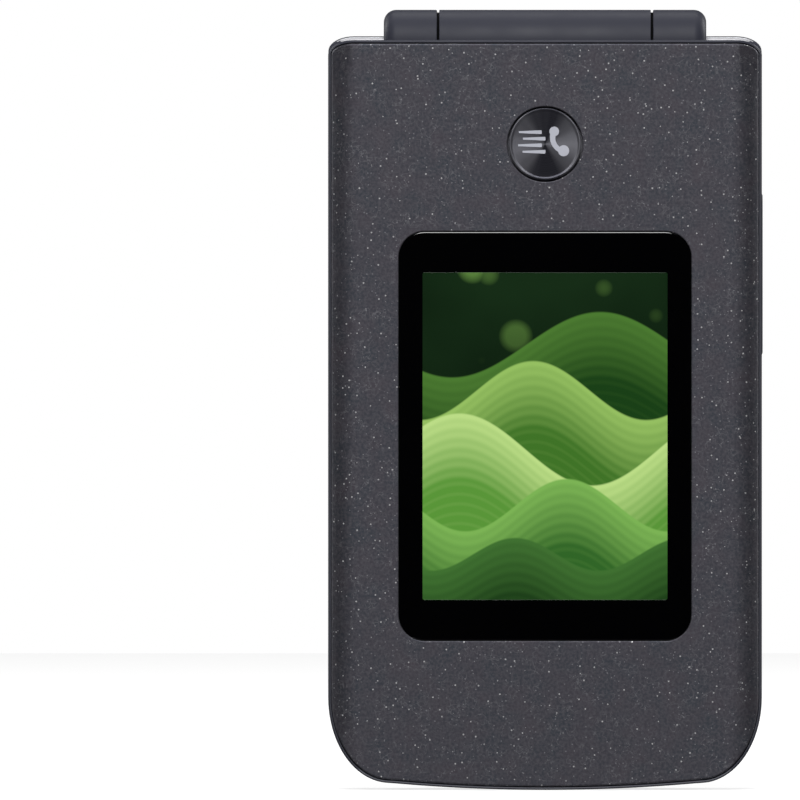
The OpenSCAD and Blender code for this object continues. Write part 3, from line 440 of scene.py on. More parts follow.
class Surface:
    """A material whose nodes are added one call at a time."""

    def __init__(self, name, colour=(0.8, 0.8, 0.8), rough=0.5, metallic=0.0, **uniform):
        self.material = bpy.data.materials.new(name)
        self.material.use_nodes = True
        self.tree = self.material.node_tree
        self.shader = self.tree.nodes["Principled BSDF"]
        self.set("Base Color", (*colour, 1))
        self.set("Roughness", rough)
        self.set("Metallic", metallic)
        for key, value in uniform.items():
            self.set(key.replace("_", " ").title().replace("Ior", "IOR"), value)
        coordinates = self.tree.nodes.new("ShaderNodeTexCoord")
        self.place = coordinates.outputs["Object"]

    def set(self, socket, value):
        self.shader.inputs[socket].default_value = value

    def node(self, kind, inputs=(), **settings):
        node = self.tree.nodes.new("ShaderNode" + kind)
        for key, value in settings.items():
            setattr(node, key, value)
        for key, value in dict(inputs).items():
            self.link(value, node.inputs[key])
        return node

    def link(self, value, socket):
        if hasattr(value, "is_output"):
            self.tree.links.new(value, socket)
        else:
            socket.default_value = value

    def math(self, operation, a, b=0.0, c=0.0, clamp=False):
        node = self.node("Math", {0: a, 1: b, 2: c}, operation=operation, use_clamp=clamp)
        return node.outputs[0]

    def noise(self, scale, detail=2.0, rough=0.5, vector=None):
        node = self.node("TexNoise", {"Vector": vector or self.place, "Scale": scale, "Detail": detail,
                                      "Roughness": rough})
        return node.outputs["Fac"]

    def cells(self, scale, randomness=1.0):
        inputs = {"Vector": self.place, "Scale": scale, "Randomness": randomness}
        return self.node("TexVoronoi", inputs, feature="F1")

    def shifted(self, offset):
        """The surface's coordinates moved far off, for a second pattern that doesn't follow the first."""
        by = (offset, offset, offset)
        return self.node("VectorMath", {0: self.place, 1: by}, operation="ADD").outputs[0]

    def remap(self, value, a, b, to_a=0.0, to_b=1.0):
        node = self.node("MapRange", {"Value": value, "From Min": a, "From Max": b, "To Min": to_a,
                                      "To Max": to_b})
        return node.outputs[0]

    def mix(self, fac, a, b):
        """Mixes two colours."""
        node = self.node("Mix", {0: fac}, data_type="RGBA")
        self.link(a if hasattr(a, "is_output") else (*a, 1), node.inputs["A"])
        self.link(b if hasattr(b, "is_output") else (*b, 1), node.inputs["B"])
        return node.outputs["Result"]

    def axes(self):
        node = self.node("SeparateXYZ", {0: self.place})
        return node.outputs["X"], node.outputs["Y"], node.outputs["Z"]

    def bump(self, height, distance, strength=1.0):
        node = self.node("Bump", {"Height": height, "Distance": distance, "Strength": strength})
        self.tree.links.new(node.outputs["Normal"], self.shader.inputs["Normal"])

    def colour(self, value):
        self.tree.links.new(value, self.shader.inputs["Base Color"])

    def roughness(self, value):
        self.tree.links.new(value, self.shader.inputs["Roughness"])


def flecks(surface, scale, size, share):
    """1 inside small round flakes, one in a share of the cells, else 0, and how bright each flake is."""
    node = surface.cells(scale)
    near = surface.math("LESS_THAN", node.outputs["Distance"], size)
    tone = surface.node("SeparateColor", {0: node.outputs["Color"]})
    picked = surface.math("GREATER_THAN", tone.outputs[0], 1 - share)
    return surface.math("MULTIPLY", near, picked), tone.outputs[1]


def speckled(name, strength=1.0):
    """Satin charcoal lacquer with fine metal flakes, faint streaks and a slow drift of tint. strength is
    how bright the flakes are."""
    s = Surface(name, rough=0.58, metallic=0.72, specular_ior_level=0.18)
    cool = s.remap(s.noise(330, 2, 0.5), 0.38, 0.66)
    warm = s.remap(s.noise(210, 2, 0.5, s.shifted(3.0)), 0.45, 0.72)
    tint = s.mix(cool, (0.0680, 0.0655, 0.0805), (0.0560, 0.0625, 0.0780))
    tint = s.mix(warm, tint, (0.0800, 0.0710, 0.0860))
    grain = s.noise(2600, 2, 0.6)
    base = s.mix(s.remap(grain, 0.38, 0.7), tint, (0.108, 0.106, 0.122))
    ridge = s.math("ABSOLUTE", s.math("SUBTRACT", s.noise(900, 2, 0.5, s.shifted(7.0)), 0.5))
    streak = s.math("MULTIPLY", s.remap(ridge, 0.022, 0.004), s.remap(s.noise(500, 1), 0.42, 0.62, 0, 0.7))
    base = s.mix(streak, base, (0.18, 0.18, 0.196))
    faint, faint_tone = flecks(s, 1750, 0.17, 0.55)
    bright, bright_tone = flecks(s, 1000, 0.11, 0.75)
    faint_amount = s.math("MULTIPLY", faint, s.remap(faint_tone, 0, 1, 0.15 * strength, 0.9 * strength))
    bright_amount = s.math("MULTIPLY", bright, s.remap(bright_tone, 0, 1, 0.2 * strength, strength))
    with_faint = s.mix(faint_amount, base, (0.48, 0.48, 0.51))
    s.colour(s.mix(bright_amount, with_faint, (0.95, 0.95, 0.96)))
    s.roughness(s.remap(s.math("ADD", faint, bright), 0, 1, 0.58, 0.5))
    s.bump(grain, 0.000012, 0.5)
    return s.material


def satin(name, low, high, rough=0.4, **uniform):
    """Smooth moulded plastic: a slow tone change, a fine grain and slightly uneven gloss."""
    s = Surface(name, rough=rough, **uniform)
    slow = s.noise(38, 2)
    grain = s.noise(2600, 2)
    s.colour(s.mix(s.remap(slow, 0.3, 0.7), low, high))
    s.roughness(s.remap(s.noise(240, 3), 0.25, 0.75, rough - 0.05, rough + 0.06))
    s.bump(grain, 0.00001, 0.35)
    return s.material


def gloss(name, colour, rough=0.06, **uniform):
    """Polished black plastic or glass, with a trace of uneven gloss."""
    s = Surface(name, colour, rough, **uniform)
    tone = s.remap(s.noise(60, 2), 0.3, 0.7)
    s.colour(s.mix(tone, colour, tuple(c * 1.25 for c in colour)))
    s.roughness(s.remap(s.noise(900, 2), 0.3, 0.7, rough, rough + 0.03))
    return s.material


def metal(name, low, high, rough=0.3, scale=1500, stretch=(1, 1, 1)):
    """Brushed or rolled metal sheet."""
    s = Surface(name, rough=rough, metallic=1.0)
    stretched = s.node("Mapping", {"Vector": s.place, "Scale": stretch})
    lines = s.noise(scale, 3, 0.6, stretched.outputs[0])
    s.colour(s.mix(s.remap(lines, 0.3, 0.7), low, high))
    s.roughness(s.remap(lines, 0.3, 0.7, rough - 0.06, rough + 0.08))
    s.bump(lines, 0.0000008, 0.5)
    return s.material


def spun_metal(name, place):
    """Dark metal turned on a lathe, with circular lines, and a painted reflection: its colour is dark in two
    wedges above and below the middle and light at the sides, as such lines reflect light.
    """
    s = Surface(name, rough=0.32, metallic=0.6, anisotropic=0.75, specular_ior_level=0.3)
    offset = s.node("VectorMath", {0: s.place, 1: tuple(c * MM for c in place)}, operation="SUBTRACT")
    axes = s.node("SeparateXYZ", {0: offset.outputs[0]})
    x, z = axes.outputs["X"], axes.outputs["Z"]
    radius = s.node("VectorMath", {0: s.node("CombineXYZ", {0: x, 2: z}).outputs[0]}, operation="LENGTH")
    angle = s.math("ARCTAN2", z, x)
    # Painted reflection: the colour follows the angle round the key, dark at top and bottom and light at the
    # sides, with small ripples.
    wedge = s.math("MULTIPLY_ADD", s.math("COSINE", s.math("MULTIPLY", angle, 2.0)), 0.5, 0.5)
    ripple = s.math("MULTIPLY", s.math("SINE", s.math("MULTIPLY_ADD", angle, 3.0, 2.2)), 0.16)
    fine = s.math("MULTIPLY", s.math("COSINE", s.math("MULTIPLY", angle, 17.0)), 0.04)
    tone = s.math("ADD", s.remap(wedge, 0.12, 0.42, 0, 0.84), s.math("ADD", ripple, fine), clamp=True)
    groove = s.node("TexNoise", {"W": s.math("MULTIPLY", radius.outputs["Value"], 9000.0), "Scale": 1.0,
                                 "Detail": 2.0}, noise_dimensions="1D")
    face = s.mix(tone, (0.030, 0.030, 0.040), (0.125, 0.125, 0.142))
    s.colour(s.mix(s.remap(groove.outputs["Fac"], 0.35, 0.75, 0, 0.12), face, (0.15, 0.15, 0.165)))
    s.bump(groove.outputs["Fac"], 0.00001, 0.6)
    around = s.node("CombineXYZ", {0: s.math("MULTIPLY", z, -1.0), 2: x})
    s.tree.links.new(around.outputs[0], s.shader.inputs["Tangent"])
    return s.material


def picture(name, middle, size, glow, up=1):
    """A plain wallpaper of overlapping green ridges under soft round lights. up is -1 on the inner display,
    which is upright with the lid open."""
    s = Surface(name, (0.0006, 0.0006, 0.0008), 0.05)
    x, _, z = s.axes()
    u = s.math("DIVIDE", x, size[0] * MM)
    v = s.math("DIVIDE", s.math("SUBTRACT", z, middle * MM), up * size[1] * MM)
    haze = s.noise(70, 2)
    colour = s.mix(s.remap(s.math("ADD", v, haze), 0.2, 1.1), (0.0015, 0.005, 0.002), (0.008, 0.025, 0.008))
    ball = s.node("TexVoronoi", {"Vector": s.place, "Scale": 130.0}, feature="F1")
    lit = s.math("MULTIPLY", s.remap(ball.outputs["Distance"], 0.34, 0.22), s.remap(v, 0.08, 0.5, 0, 0.55))
    colour = s.mix(lit, colour, (0.16, 0.34, 0.07))
    ridges = [(0.28, 0.10, 2.6, 0.4, (0.010, 0.050, 0.008), (0.07, 0.19, 0.03)),
              (0.14, 0.09, 3.4, 1.9, (0.05, 0.17, 0.02), (0.30, 0.52, 0.12)),
              (-0.04, 0.11, 2.9, 3.6, (0.10, 0.30, 0.04), (0.50, 0.72, 0.24)),
              (-0.21, 0.08, 3.8, 0.9, (0.03, 0.13, 0.02), (0.20, 0.45, 0.09)),
              (-0.36, 0.05, 4.6, 2.7, (0.006, 0.03, 0.006), (0.05, 0.16, 0.03))]
    for level, height, waves, shift, low, high in ridges:
        wave = s.math("MULTIPLY", s.math("SINE", s.math("MULTIPLY_ADD", u, waves * 2, shift)), height)
        below = s.math("SUBTRACT", s.math("ADD", wave, level), v)
        lines = s.math("SINE", s.math("MULTIPLY", below, 210.0))
        shade = s.remap(below, 0.0, 0.22, 1, 0)
        vein = s.math("MULTIPLY_ADD", lines, 0.06, shade, clamp=True)
        colour = s.mix(s.remap(below, -0.002, 0.004), colour, s.mix(vein, low, high))
    s.tree.links.new(colour, s.shader.inputs["Emission Color"])
    s.set("Emission Strength", glow)
    return s.material


def ribbed_lens(name, place):
    """Milky lens of a flash, with upright ribs inside and a warmer, brighter middle."""
    s = Surface(name, rough=0.16, coat_weight=0.6, coat_roughness=0.05)
    x, _, z = s.axes()
    across = s.math("DIVIDE", s.math("SUBTRACT", x, place[0] * MM), 1.5 * MM)
    along = s.math("DIVIDE", s.math("SUBTRACT", z, place[2] * MM), 2.5 * MM)
    wobble = s.math("MULTIPLY", s.noise(420, 2), 2.2)
    ribs = s.math("SINE", s.math("ADD", s.math("MULTIPLY", across, 7.5), wobble))
    out = s.math("ADD", *[s.math("POWER", s.math("ABSOLUTE", part), 2.0) for part in (across, along)])
    milky = s.mix(s.remap(ribs, -1, 1), (0.24, 0.235, 0.235), (0.44, 0.425, 0.42))
    s.colour(s.mix(s.remap(out, 0.7, 0.0, 0, 0.55), milky, (0.62, 0.57, 0.52)))
    s.bump(ribs, 0.00006, 0.8)
    return s.material


def board(name):
    """Green solder mask over copper tracks."""
    s = Surface(name, rough=0.35)
    tracks = s.node("TexBrick", {"Vector": s.place, "Scale": 420.0, "Mortar Size": 0.012,
                                 "Color1": (0, 0, 0, 1), "Color2": (0.3, 0.3, 0.3, 1),
                                 "Mortar": (1, 1, 1, 1)})
    pads = s.math("LESS_THAN", s.cells(640, 0.35).outputs["Distance"], 0.16)
    colour = s.mix(tracks.outputs["Fac"], (0.008, 0.07, 0.03), (0.02, 0.13, 0.055))
    s.colour(s.mix(pads, colour, (0.55, 0.52, 0.42)))
    return s.material


COVER = speckled("cover_lacquer")
REAR_COVER = speckled("rear_cover_lacquer", 0.4)
# Painted highlight: a lighter copy of the frame's plastic for the rim's narrow land, standing in for the light
# line along the rim.
PAINTED_RIM_HIGHLIGHT = satin("rim_painted_highlight", (0.145, 0.148, 0.17), (0.17, 0.173, 0.195), 0.35)
FRAME = satin("frame_plastic", (0.034, 0.0355, 0.049), (0.040, 0.0415, 0.056), 0.48,
              specular_ior_level=0.14)
PANEL = satin("panel_plastic", (0.012, 0.012, 0.014), (0.016, 0.016, 0.018), 0.3)
FASCIA = satin("fascia_plastic", (0.014, 0.0145, 0.017), (0.018, 0.0185, 0.021), 0.42)
KEY = satin("key_plastic", (0.026, 0.0265, 0.031), (0.032, 0.0325, 0.037), 0.38)
BLACK = satin("black_plastic", (0.008, 0.008, 0.009), (0.013, 0.013, 0.014), 0.45)
# Painted shade: near-black, almost matt washers that keep the hinge seams dark.
SEAM_SHADE_BLACK = satin("seam_shade_black", (0.002, 0.002, 0.0022), (0.003, 0.003, 0.0032), 0.9,
                   specular_ior_level=0.05)
RUBBER = satin("bumper_rubber", (0.012, 0.012, 0.013), (0.02, 0.02, 0.021), 0.75)
WINDOW_PRINT = gloss("window_print", (0.0006, 0.0006, 0.0008), 0.04, specular_ior_level=0.5)
CAMERA_PRINT = gloss("camera_print", (0.062, 0.062, 0.075), 0.08)
CAMERA_CLEAR = gloss("camera_clear", (0.21, 0.21, 0.245), 0.05)
GAUZE = satin("speaker_gauze", (0.0008, 0.0008, 0.0008), (0.0014, 0.0014, 0.0014), 0.9,
              specular_ior_level=0.02)
CAMERA_BLACK = gloss("camera_ring_lacquer", (0.010, 0.010, 0.012), 0.22)
SPUN = spun_metal("spun_metal", (0, 0, CALL_KEY_Z))
NAV = satin("nav_satin", (0.15, 0.153, 0.165), (0.17, 0.173, 0.185), 0.32)
# Painted highlight: a bright metal for the base's top front bevel, far lighter than the frame's plastic,
# standing in for the light strip that the bevel catches.
PAINTED_BEVEL_HIGHLIGHT = metal("bevel_painted_highlight", (0.40, 0.40, 0.42), (0.47, 0.47, 0.49), 0.4, 900)
STEEL = metal("rolled_steel", (0.46, 0.46, 0.47), (0.56, 0.56, 0.57), 0.3, 700, (1, 1, 12))
GOLD = metal("gold_contact", (0.72, 0.5, 0.2), (0.9, 0.68, 0.32), 0.25, 900)
COPPER = metal("copper_foil", (0.5, 0.25, 0.1), (0.7, 0.38, 0.17), 0.35, 900)
SIGN = satin("sign_print", (0.38, 0.39, 0.44), (0.46, 0.47, 0.53), 0.5, specular_ior_level=0.2)
LEGEND = satin("legend_white", (0.62, 0.63, 0.65), (0.7, 0.71, 0.73), 0.5)
GREEN = satin("legend_green", (0.03, 0.4, 0.07), (0.04, 0.5, 0.09), 0.5)
RED = satin("legend_red", (0.5, 0.02, 0.02), (0.62, 0.03, 0.025), 0.5)
BATTERY = satin("battery_wrap", (0.55, 0.56, 0.58), (0.62, 0.63, 0.65), 0.45)
BOARD = board("circuit_board")
FLASH = ribbed_lens("flash_lens", (FLASH_X, 0, CAMERA_Z))
CHIP = gloss("flash_chip", (0.8, 0.66, 0.25), 0.3)
OUTER_PICTURE = picture("outer_picture", WINDOW_Z, PICTURE, 1.0)
INNER_PICTURE = picture("main_picture", MAIN_Z, MAIN_PICTURE, 0.8, -1)


# ---------- lid ----------

def rings_from(pairs, top):
    """Rings round the outline from (inset, depth) pairs, where depth is a number or a function of x and z."""
    rings = []
    for inset, depth in pairs:
        loop = outline(inset, top)
        rings.append([(x, depth(x, z) if callable(depth) else depth, z) for x, z in loop])
    return rings


def raised(surface, depth):
    """A surface's depth as a function of x and z, moved along Y."""
    return lambda x, z: surface(x, z) + depth


def lid_shell():
    rim = lambda x, z: Y_LID + roll(x, LID_ROLL) + RIM_SINK
    back_fillet, lip = 0.3, 0.05
    ledge_w, wall_w, ledge_y = 1.8, 3.0, -5.8
    pairs = [(inset, Y_LID_BACK - depth) for inset, depth in fillet(back_fillet)]
    pairs += [(inset, raised(rim, depth)) for inset, depth in reversed(fillet(RIM_FILLET))]
    pairs += [(RIM_W - lip, rim), (RIM_W, raised(rim, lip)), (RIM_W, Y_LID_SEAT), (ledge_w, Y_LID_SEAT),
              (wall_w, ledge_y), (wall_w, Y_LID_BACK)]
    shell = new_object("lid_shell", *band_mesh(rings_from(pairs, LID_TOP)), FRAME, "lid",
                       replaces=["lid_frame"], slot="frame", smooth=False)
    paint_rim_highlights(shell, rim)
    cut(shell, relief_tool(), hinge_tool(HINGE_R - 0.4, -BARREL_X, BARREL_X), *side_sweeps(SWEEP_R, BARREL_X))
    edge, length = BARREL_FILLET, 2 * BARREL_X
    profile = [(BARREL_BORE_R, 0), (HINGE_R - edge, 0), (HINGE_R, edge)]
    profile += [(HINGE_R, length * i / 6) for i in range(1, 6)]
    profile += [(HINGE_R, length - edge), (HINGE_R - edge, length), (BARREL_BORE_R, length)]
    lathe_object("lid_barrel", profile, (-BARREL_X, HINGE_Y, HINGE_Z), FRAME, "lid", "x", 128, slot="frame",
                 replaces=["lid_frame"])


def paint_rim_highlights(shell, rim, top_edge=False):
    """Painted highlights: the narrow land along the rim takes a lighter material below the top edge, and the
    base's bevel at the front of its top takes a bright metal; both stand in for the light that these edges
    catch."""
    shell.data.materials.append(PAINTED_RIM_HIGHLIGHT)
    shell.data.materials.append(PAINTED_BEVEL_HIGHLIGHT)
    for polygon in shell.data.polygons:
        x, y, z = polygon.center / MM
        # Painted highlight: the base's bevel faces at the front of its top take the bright metal.
        if top_edge and z > LID_TOP - 0.1 and polygon.normal.y < -0.3 and 0.1 < polygon.normal.z < 0.8:
            polygon.material_index = 2
        # Painted highlight: the rim's land below the top edge takes the lighter material.
        elif abs(y - rim(x, z)) < 0.012 and z < LID_TOP - 0.9:
            polygon.material_index = 1


def lid_face():
    face = lambda x, z: Y_LID + roll(x, LID_ROLL)
    holes = [rect_hole(WINDOW_W, WINDOW_H, WINDOW_R, 0, WINDOW_Z, FIT),
             round_hole(CALL_KEY_R + CALL_KEY_GAP, 0, CALL_KEY_Z)]
    columns = [side * x for x in (25.6, 26.1, 26.6, 27.1, 27.6, 28.0, 28.4) for side in (-1, 1)]
    vertices, faces = sheet_mesh(lambda i: outline(COVER_INSET + i, LID_TOP), holes, face,
                                 lambda x, z: max(face(x, z) + COVER_WALL, Y_LID_SEAT), 1, 0.22, 0.14, columns)
    new_object("lid_face", vertices, faces, COVER, "lid", replaces=["lid_cover"], slot="cover")


def outer_window():
    """The glass with its black print, and the lit picture lying all but flush in the print's opening."""
    opening = rect_hole(*PICTURE, 0.25, 0, WINDOW_Z)
    glass = rect_piece(WINDOW_W, WINDOW_H, WINDOW_R, 0, WINDOW_Z)
    flat_piece("outer_window", glass, Y_LID + 0.02, Y_LID + 0.75, WINDOW_PRINT, "lid", 1, 0.16, [opening],
               0.01, replaces=["outer_window"], slot="window")
    flat_piece("outer_display", lambda i: opening(-i - 0.01), Y_LID + 0.025, -7.15, OUTER_PICTURE, "lid", 1,
               0.01, replaces=["outer_display"], slot="display")


def handset(x, z, size, angle, y, depth, name, material, body):
    """A plain telephone handset as one thin raised piece: a bowed grip with a round end at each side."""
    grip = arc(0, 1.1, 1.68, 1.68, 218, 322, 24)
    inner = arc(0.05, 0.95, 1.03, 1.03, 322, 218, 24)
    turn = math.radians(angle)
    vertices, faces = [], []
    ends = [circle(r, side * 1.06, 0.22, steps=32) for side, r in ((-1, 0.48), (1, 0.55))]
    for step, loop in enumerate([grip + inner] + ends):
        placed = [(x + size * (px * math.cos(turn) - pz * math.sin(turn)),
                   z + size * (px * math.sin(turn) + pz * math.cos(turn))) for px, pz in loop]
        add_prism(vertices, faces, placed, y - 0.002 * step, y + depth)
    new_object(name, vertices, faces, material, body, slot="key", smooth=False)


def call_key():
    y = Y_LID - CALL_KEY_RISE
    flange_y, back = 1.34, 1.72
    profile = [(0, 0.1), (4.2, 0.085), (4.4, 0.083), (4.48, 0.078), (4.62, 0.02), (4.74, 0.0), (4.86, 0.03),
               (CALL_KEY_R, 0.12), (CALL_KEY_R, flange_y), (CALL_KEY_FLANGE_R, flange_y),
               (CALL_KEY_FLANGE_R, back), (0, back)]
    lathe_object("call_key", profile, (0, y, CALL_KEY_Z), SPUN, "call_key", "y", 128, replaces=["call_key"],
                 slot="call_key")
    handset(1.62, CALL_KEY_Z + 0.28, 1.377, -64, y + 0.04, 0.2, "call_key_handset", SIGN, "call_key")
    half, thin, tip = 0.26, 0.13, 0.12
    bars = []
    for z, x0, x1 in ((1.63, -3.55, -0.45), (0.74, -3.0, 0.06), (-0.16, -3.65, -0.42), (-1.04, -3.05, 0.06)):
        loop = [(x0, CALL_KEY_Z + z + thin), (x0, CALL_KEY_Z + z - thin)]
        for start, cz in ((-90, tip - half), (0, half - tip)):
            loop += arc(x1 - tip, CALL_KEY_Z + z + cz, tip, tip, start, start + 90, 5)
        bars.append(loop)
    new_object("call_key_bars", *prisms(bars, y + 0.04, y + 0.25), SIGN, "call_key", slot="key", smooth=False)


def lid_inside():
    size = (*INNER_WINDOW, INNER_WINDOW_R, 0, MAIN_Z)
    holes = [rect_hole(*size, FIT), rect_hole(13, 1.6, 0.8, 0, RECEIVER_Z)]
    holes += [round_hole(1.4, x, z, 40) for x, z in LID_SCREWS]
    vertices, faces = sheet_mesh(lambda i: outline(PANEL_INSET + i, LID_TOP), holes, lambda x, z: Y_PANEL,
                                 lambda x, z: Y_LID_BACK, -1, 0.35, 0.1)
    panel = new_object("lid_inner_panel", vertices, faces, PANEL, "lid", replaces=["lid_inner_panel"],
                       slot="panel", smooth=False)
    cut(panel, relief_tool(), hinge_tool(HINGE_R + FIT, -BARREL_X - 0.3, BARREL_X + 0.3),
        *side_sweeps(SWEEP_R, BARREL_X))
    opening = rect_hole(*MAIN_PICTURE, 0.4, 0, MAIN_Z)
    flat_piece("inner_window", rect_piece(*size), -2.76, -3.4, WINDOW_PRINT, "lid", -1, 0.25, [opening], 0.01,
               replaces=["inner_window"], slot="window")
    flat_piece("main_display", lambda i: opening(-i - 0.01), -2.765, -5.5, INNER_PICTURE, "lid", -1, 0.01,
               replaces=["main_display"], slot="display")
    bumper = [(0, 0.8), (1.35, 0.8), (1.35, 0.2), (1.28, 0.06), (1.1, 0), (0, 0)]
    for i, (x, z) in enumerate(LID_SCREWS):
        lathe_object(f"lid_bumper_{i}", bumper, (x, -2.25 - 0.8, z), RUBBER, "lid", "y", 48, slot="bumper")


def grille():
    """The earpiece's fine mesh: a plate with rows of small round holes."""
    holes = [round_hole(0.13, -5.7 + 0.5 * i + 0.25 * (row % 2), RECEIVER_Z + 0.42 * (row - 1), 12)
             for row in range(3) for i in range(23)]
    flat_piece("earpiece_grille", rect_piece(12.9, 1.5, 0.75, 0, RECEIVER_Z), -2.9, -3.3, BLACK, "lid", -1,
               0.08, holes, replaces=["earpiece_grille"], slot="black_part")


# ---------- base ----------

def seam_depth(z, gap=0.0):
    """The seam between the base frame and the rear cover, which bends forward near the top."""
    bend_r = (BEND_H ** 2 + BEND_D ** 2) / (2 * BEND_D)
    over = max(z - (BASE_TOP - BEND_H), 0)
    return Y_SEAM + gap - (bend_r - math.sqrt(bend_r ** 2 - min(over, BEND_H) ** 2))


def base_shell():
    rim = lambda x, z: Y_REAR - roll(x, REAR_ROLL) - RIM_SINK
    seam = lambda x, z: min(seam_depth(z), rim(x, z) - 0.06)
    lip = 0.05

    def front_r(z):
        t = min(max((z - (BASE_TOP - 2.2)) / 2.2, 0), 1)
        return 0.3 + 0.7 * t * t * (3 - 2 * t)

    def rim_wall(depth):
        return lambda x, z: max(rim(x, z) - depth, seam(x, z) - 0.3)

    rings = []
    for inset, depth in fillet(1.0, 6):
        ring = []
        for (x, z), (xi, zi) in zip(outline(0, BASE_TOP), outline(1.0, BASE_TOP)):
            k = front_r(z)
            t = inset * k
            ring.append((x + (xi - x) * t, Y_DECK_BACK + depth * k, z + (zi - z) * t))
        rings.append(ring)
    pairs = [(inset, rim_wall(depth)) for inset, depth in reversed(fillet(RIM_FILLET))]
    pairs += [(RIM_W - lip, rim), (RIM_W, raised(rim, -lip)), (RIM_W, seam), (SHELL_WALL, seam),
              (SHELL_WALL, Y_FLOOR_BACK), (SHELL_WALL, Y_DECK_BACK)]
    rings += rings_from(pairs, BASE_TOP)
    shell = new_object("base_shell", *band_mesh(rings), FRAME, "base", replaces=["base_frame"], slot="frame",
                       smooth=False)
    paint_rim_highlights(shell, rim, True)
    cut(shell, hinge_tool(SWEEP_R, -KNUCKLE_X, KNUCKLE_X),
        mesh_object("tool", *bar_mesh(rocker_loop(0.12), 25, 32)),
        rod_tool(JACK_R, -33, -25, JACK_Y, JACK_Z, 96), box_tool((-33, -24), USB_Y, USB_Z))
    knuckles()
    saddle()
    base_floor()


def knuckles():
    """The base's two hinge knuckles, and the near-black washers in the seams beside the barrel, which stand in
    for the seams' shade.
    """
    edge, end_r, length, bore_end = KNUCKLE_FILLET, HINGE_END_R, KNUCKLE_END - KNUCKLE_X, 5.2
    profile = [(HINGE_BORE_R, 0), (HINGE_R - edge, 0), (HINGE_R - edge * 0.3, edge * 0.3), (HINGE_R, edge),
               (HINGE_R, 2.5)]
    profile += [(r, x) for x, r in arc(length - end_r, HINGE_R - end_r, end_r, end_r, 90, 0, 12)]
    profile += [(0, length), (0, bore_end), (HINGE_BORE_R, bore_end)]
    washer = [(HINGE_BORE_R, 0), (WASHER_R, 0), (WASHER_R, WASHER_W), (HINGE_BORE_R, WASHER_W)]
    for name, side in (("right", 1), ("left", -1)):
        lathe_object(f"hinge_knuckle_{name}", [(r, side * x) for r, x in profile],
                     (side * KNUCKLE_X, HINGE_Y, HINGE_Z), FRAME, "base", "x", 128, slot="frame",
                     replaces=["base_frame"])
        # Painted shade: a near-black washer sits in each seam beside the barrel.
        lathe_object(f"hinge_washer_{name}", [(r, side * x) for r, x in washer],
                     (side * (KNUCKLE_X - WASHER_W), HINGE_Y, HINGE_Z), SEAM_SHADE_BLACK, "base", "x", 96,
                     slot="black_part")


def rocker_loop(grow):
    """The volume rocker's outline as (y, z) points."""
    w, h = ROCKER_W + 2 * grow, ROCKER_H + 2 * grow
    out = []
    for start, z in ((0, ROCKER_Z + (h - w) / 2), (180, ROCKER_Z - (h - w) / 2)):
        out += arc(ROCKER_Y, z, w / 2, w / 2, start, start + 180, 16)
    return out


def saddle():
    """The hollow wall of the base round the lid's barrel."""
    loop = arc(HINGE_Y, HINGE_Z, SWEEP_R, SWEEP_R, 192, 312, 40)
    loop += arc(HINGE_Y, HINGE_Z, SWEEP_R + SADDLE_WALL, SWEEP_R + SADDLE_WALL, 312, 192, 40)
    loop = [(max(min(y, Y_FLOOR_BACK), Y_DECK_BACK), z) for y, z in loop]
    new_object("hinge_saddle", *bar_mesh(loop, -KNUCKLE_END, KNUCKLE_END), FRAME, "base", ["base_frame"],
               "frame")


def base_floor():
    """The wall between the two halves of the base, with the ribs beside the battery."""
    flat_piece("base_floor", lambda i: outline(SHELL_WALL + i, 96.8), Y_FLOOR_BACK, Y_FLOOR, FRAME, "base", -1,
               0.05, slot="frame", replaces=["base_frame"])
    for name, side in (("left", -1), ("right", 1)):
        rib = rect_piece(0.8, BATTERY_H, 0.2, side * (BATTERY_W / 2 + 0.65), BATTERY_Z + BATTERY_H / 2)
        flat_piece(f"battery_rib_{name}", rib, Y_FLOOR_BACK + 3.2, Y_FLOOR_BACK - 0.1, FRAME, "base", -1, 0.12,
                   slot="frame", replaces=["base_frame"])


def fascia():
    holes = [rect_hole(w, h, KEY_CORNER_R, x, z, KEY_GAP) for _, x, z, w, h in KEYS]
    holes += [round_hole(NAV_R + KEY_GAP, 0, NAV_Z, 128), round_hole(MICROPHONE_R, 0, MICROPHONE_Z, 24)]
    vertices, faces = sheet_mesh(lambda i: outline(1.0 + i, BASE_TOP), holes, lambda x, z: Y_DECK,
                                 lambda x, z: Y_DECK_BACK, 1, 0.3, 0.12)
    plate = new_object("keypad_fascia", vertices, faces, FASCIA, "base", replaces=["keypad_fascia"],
                       slot="panel", smooth=False)
    cut(plate, hinge_tool(SWEEP_R, -KNUCKLE_X, KNUCKLE_X), *side_sweeps(HINGE_R + FIT, KNUCKLE_X - 0.1))


def key_list():
    keys = []
    for row, names in enumerate(KEY_ROWS):
        for col, name in zip((-1, 0, 1), names):
            keys.append((f"key_{name}", col * KEY_PITCH_X, KEY_ROW_Z + row * KEY_PITCH_Z, KEY_W, KEY_H))
    for name, sx, sz in (("soft_key_left", -1, 1), ("soft_key_right", 1, 1), ("talk_key", -1, -1),
                         ("end_key", 1, -1)):
        keys.append((name, sx * SIDE_KEY_X, NAV_Z + sz * SIDE_KEY_DZ, SIDE_KEY_W, SIDE_KEY_H))
    return keys


KEYS = key_list()


def crowned_cap(name, x, z, w, h):
    """A key cap: a crowned top over rounded sides, with its flange."""
    top, flange_w, flange_y = Y_DECK - KEY_RISE, 0.8, Y_DECK_BACK + 0.1
    crown = [(1.7, 0.0), (1.2, 0.01), (0.75, 0.035), (0.42, 0.075), (0.2, 0.13), (0.07, 0.22), (0, 0.36)]
    levels = [(-inset, top + depth) for inset, depth in crown]
    levels += [(0, flange_y), (flange_w, flange_y), (flange_w, Y_KEY_BACK)]
    rings = [[(px, y, pz) for px, pz in rounded_rect(w, h, KEY_CORNER_R, x, z, grow, 8)]
             for grow, y in levels]
    new_object(name, *stack_mesh(rings), KEY, name, replaces=[name], slot="key")


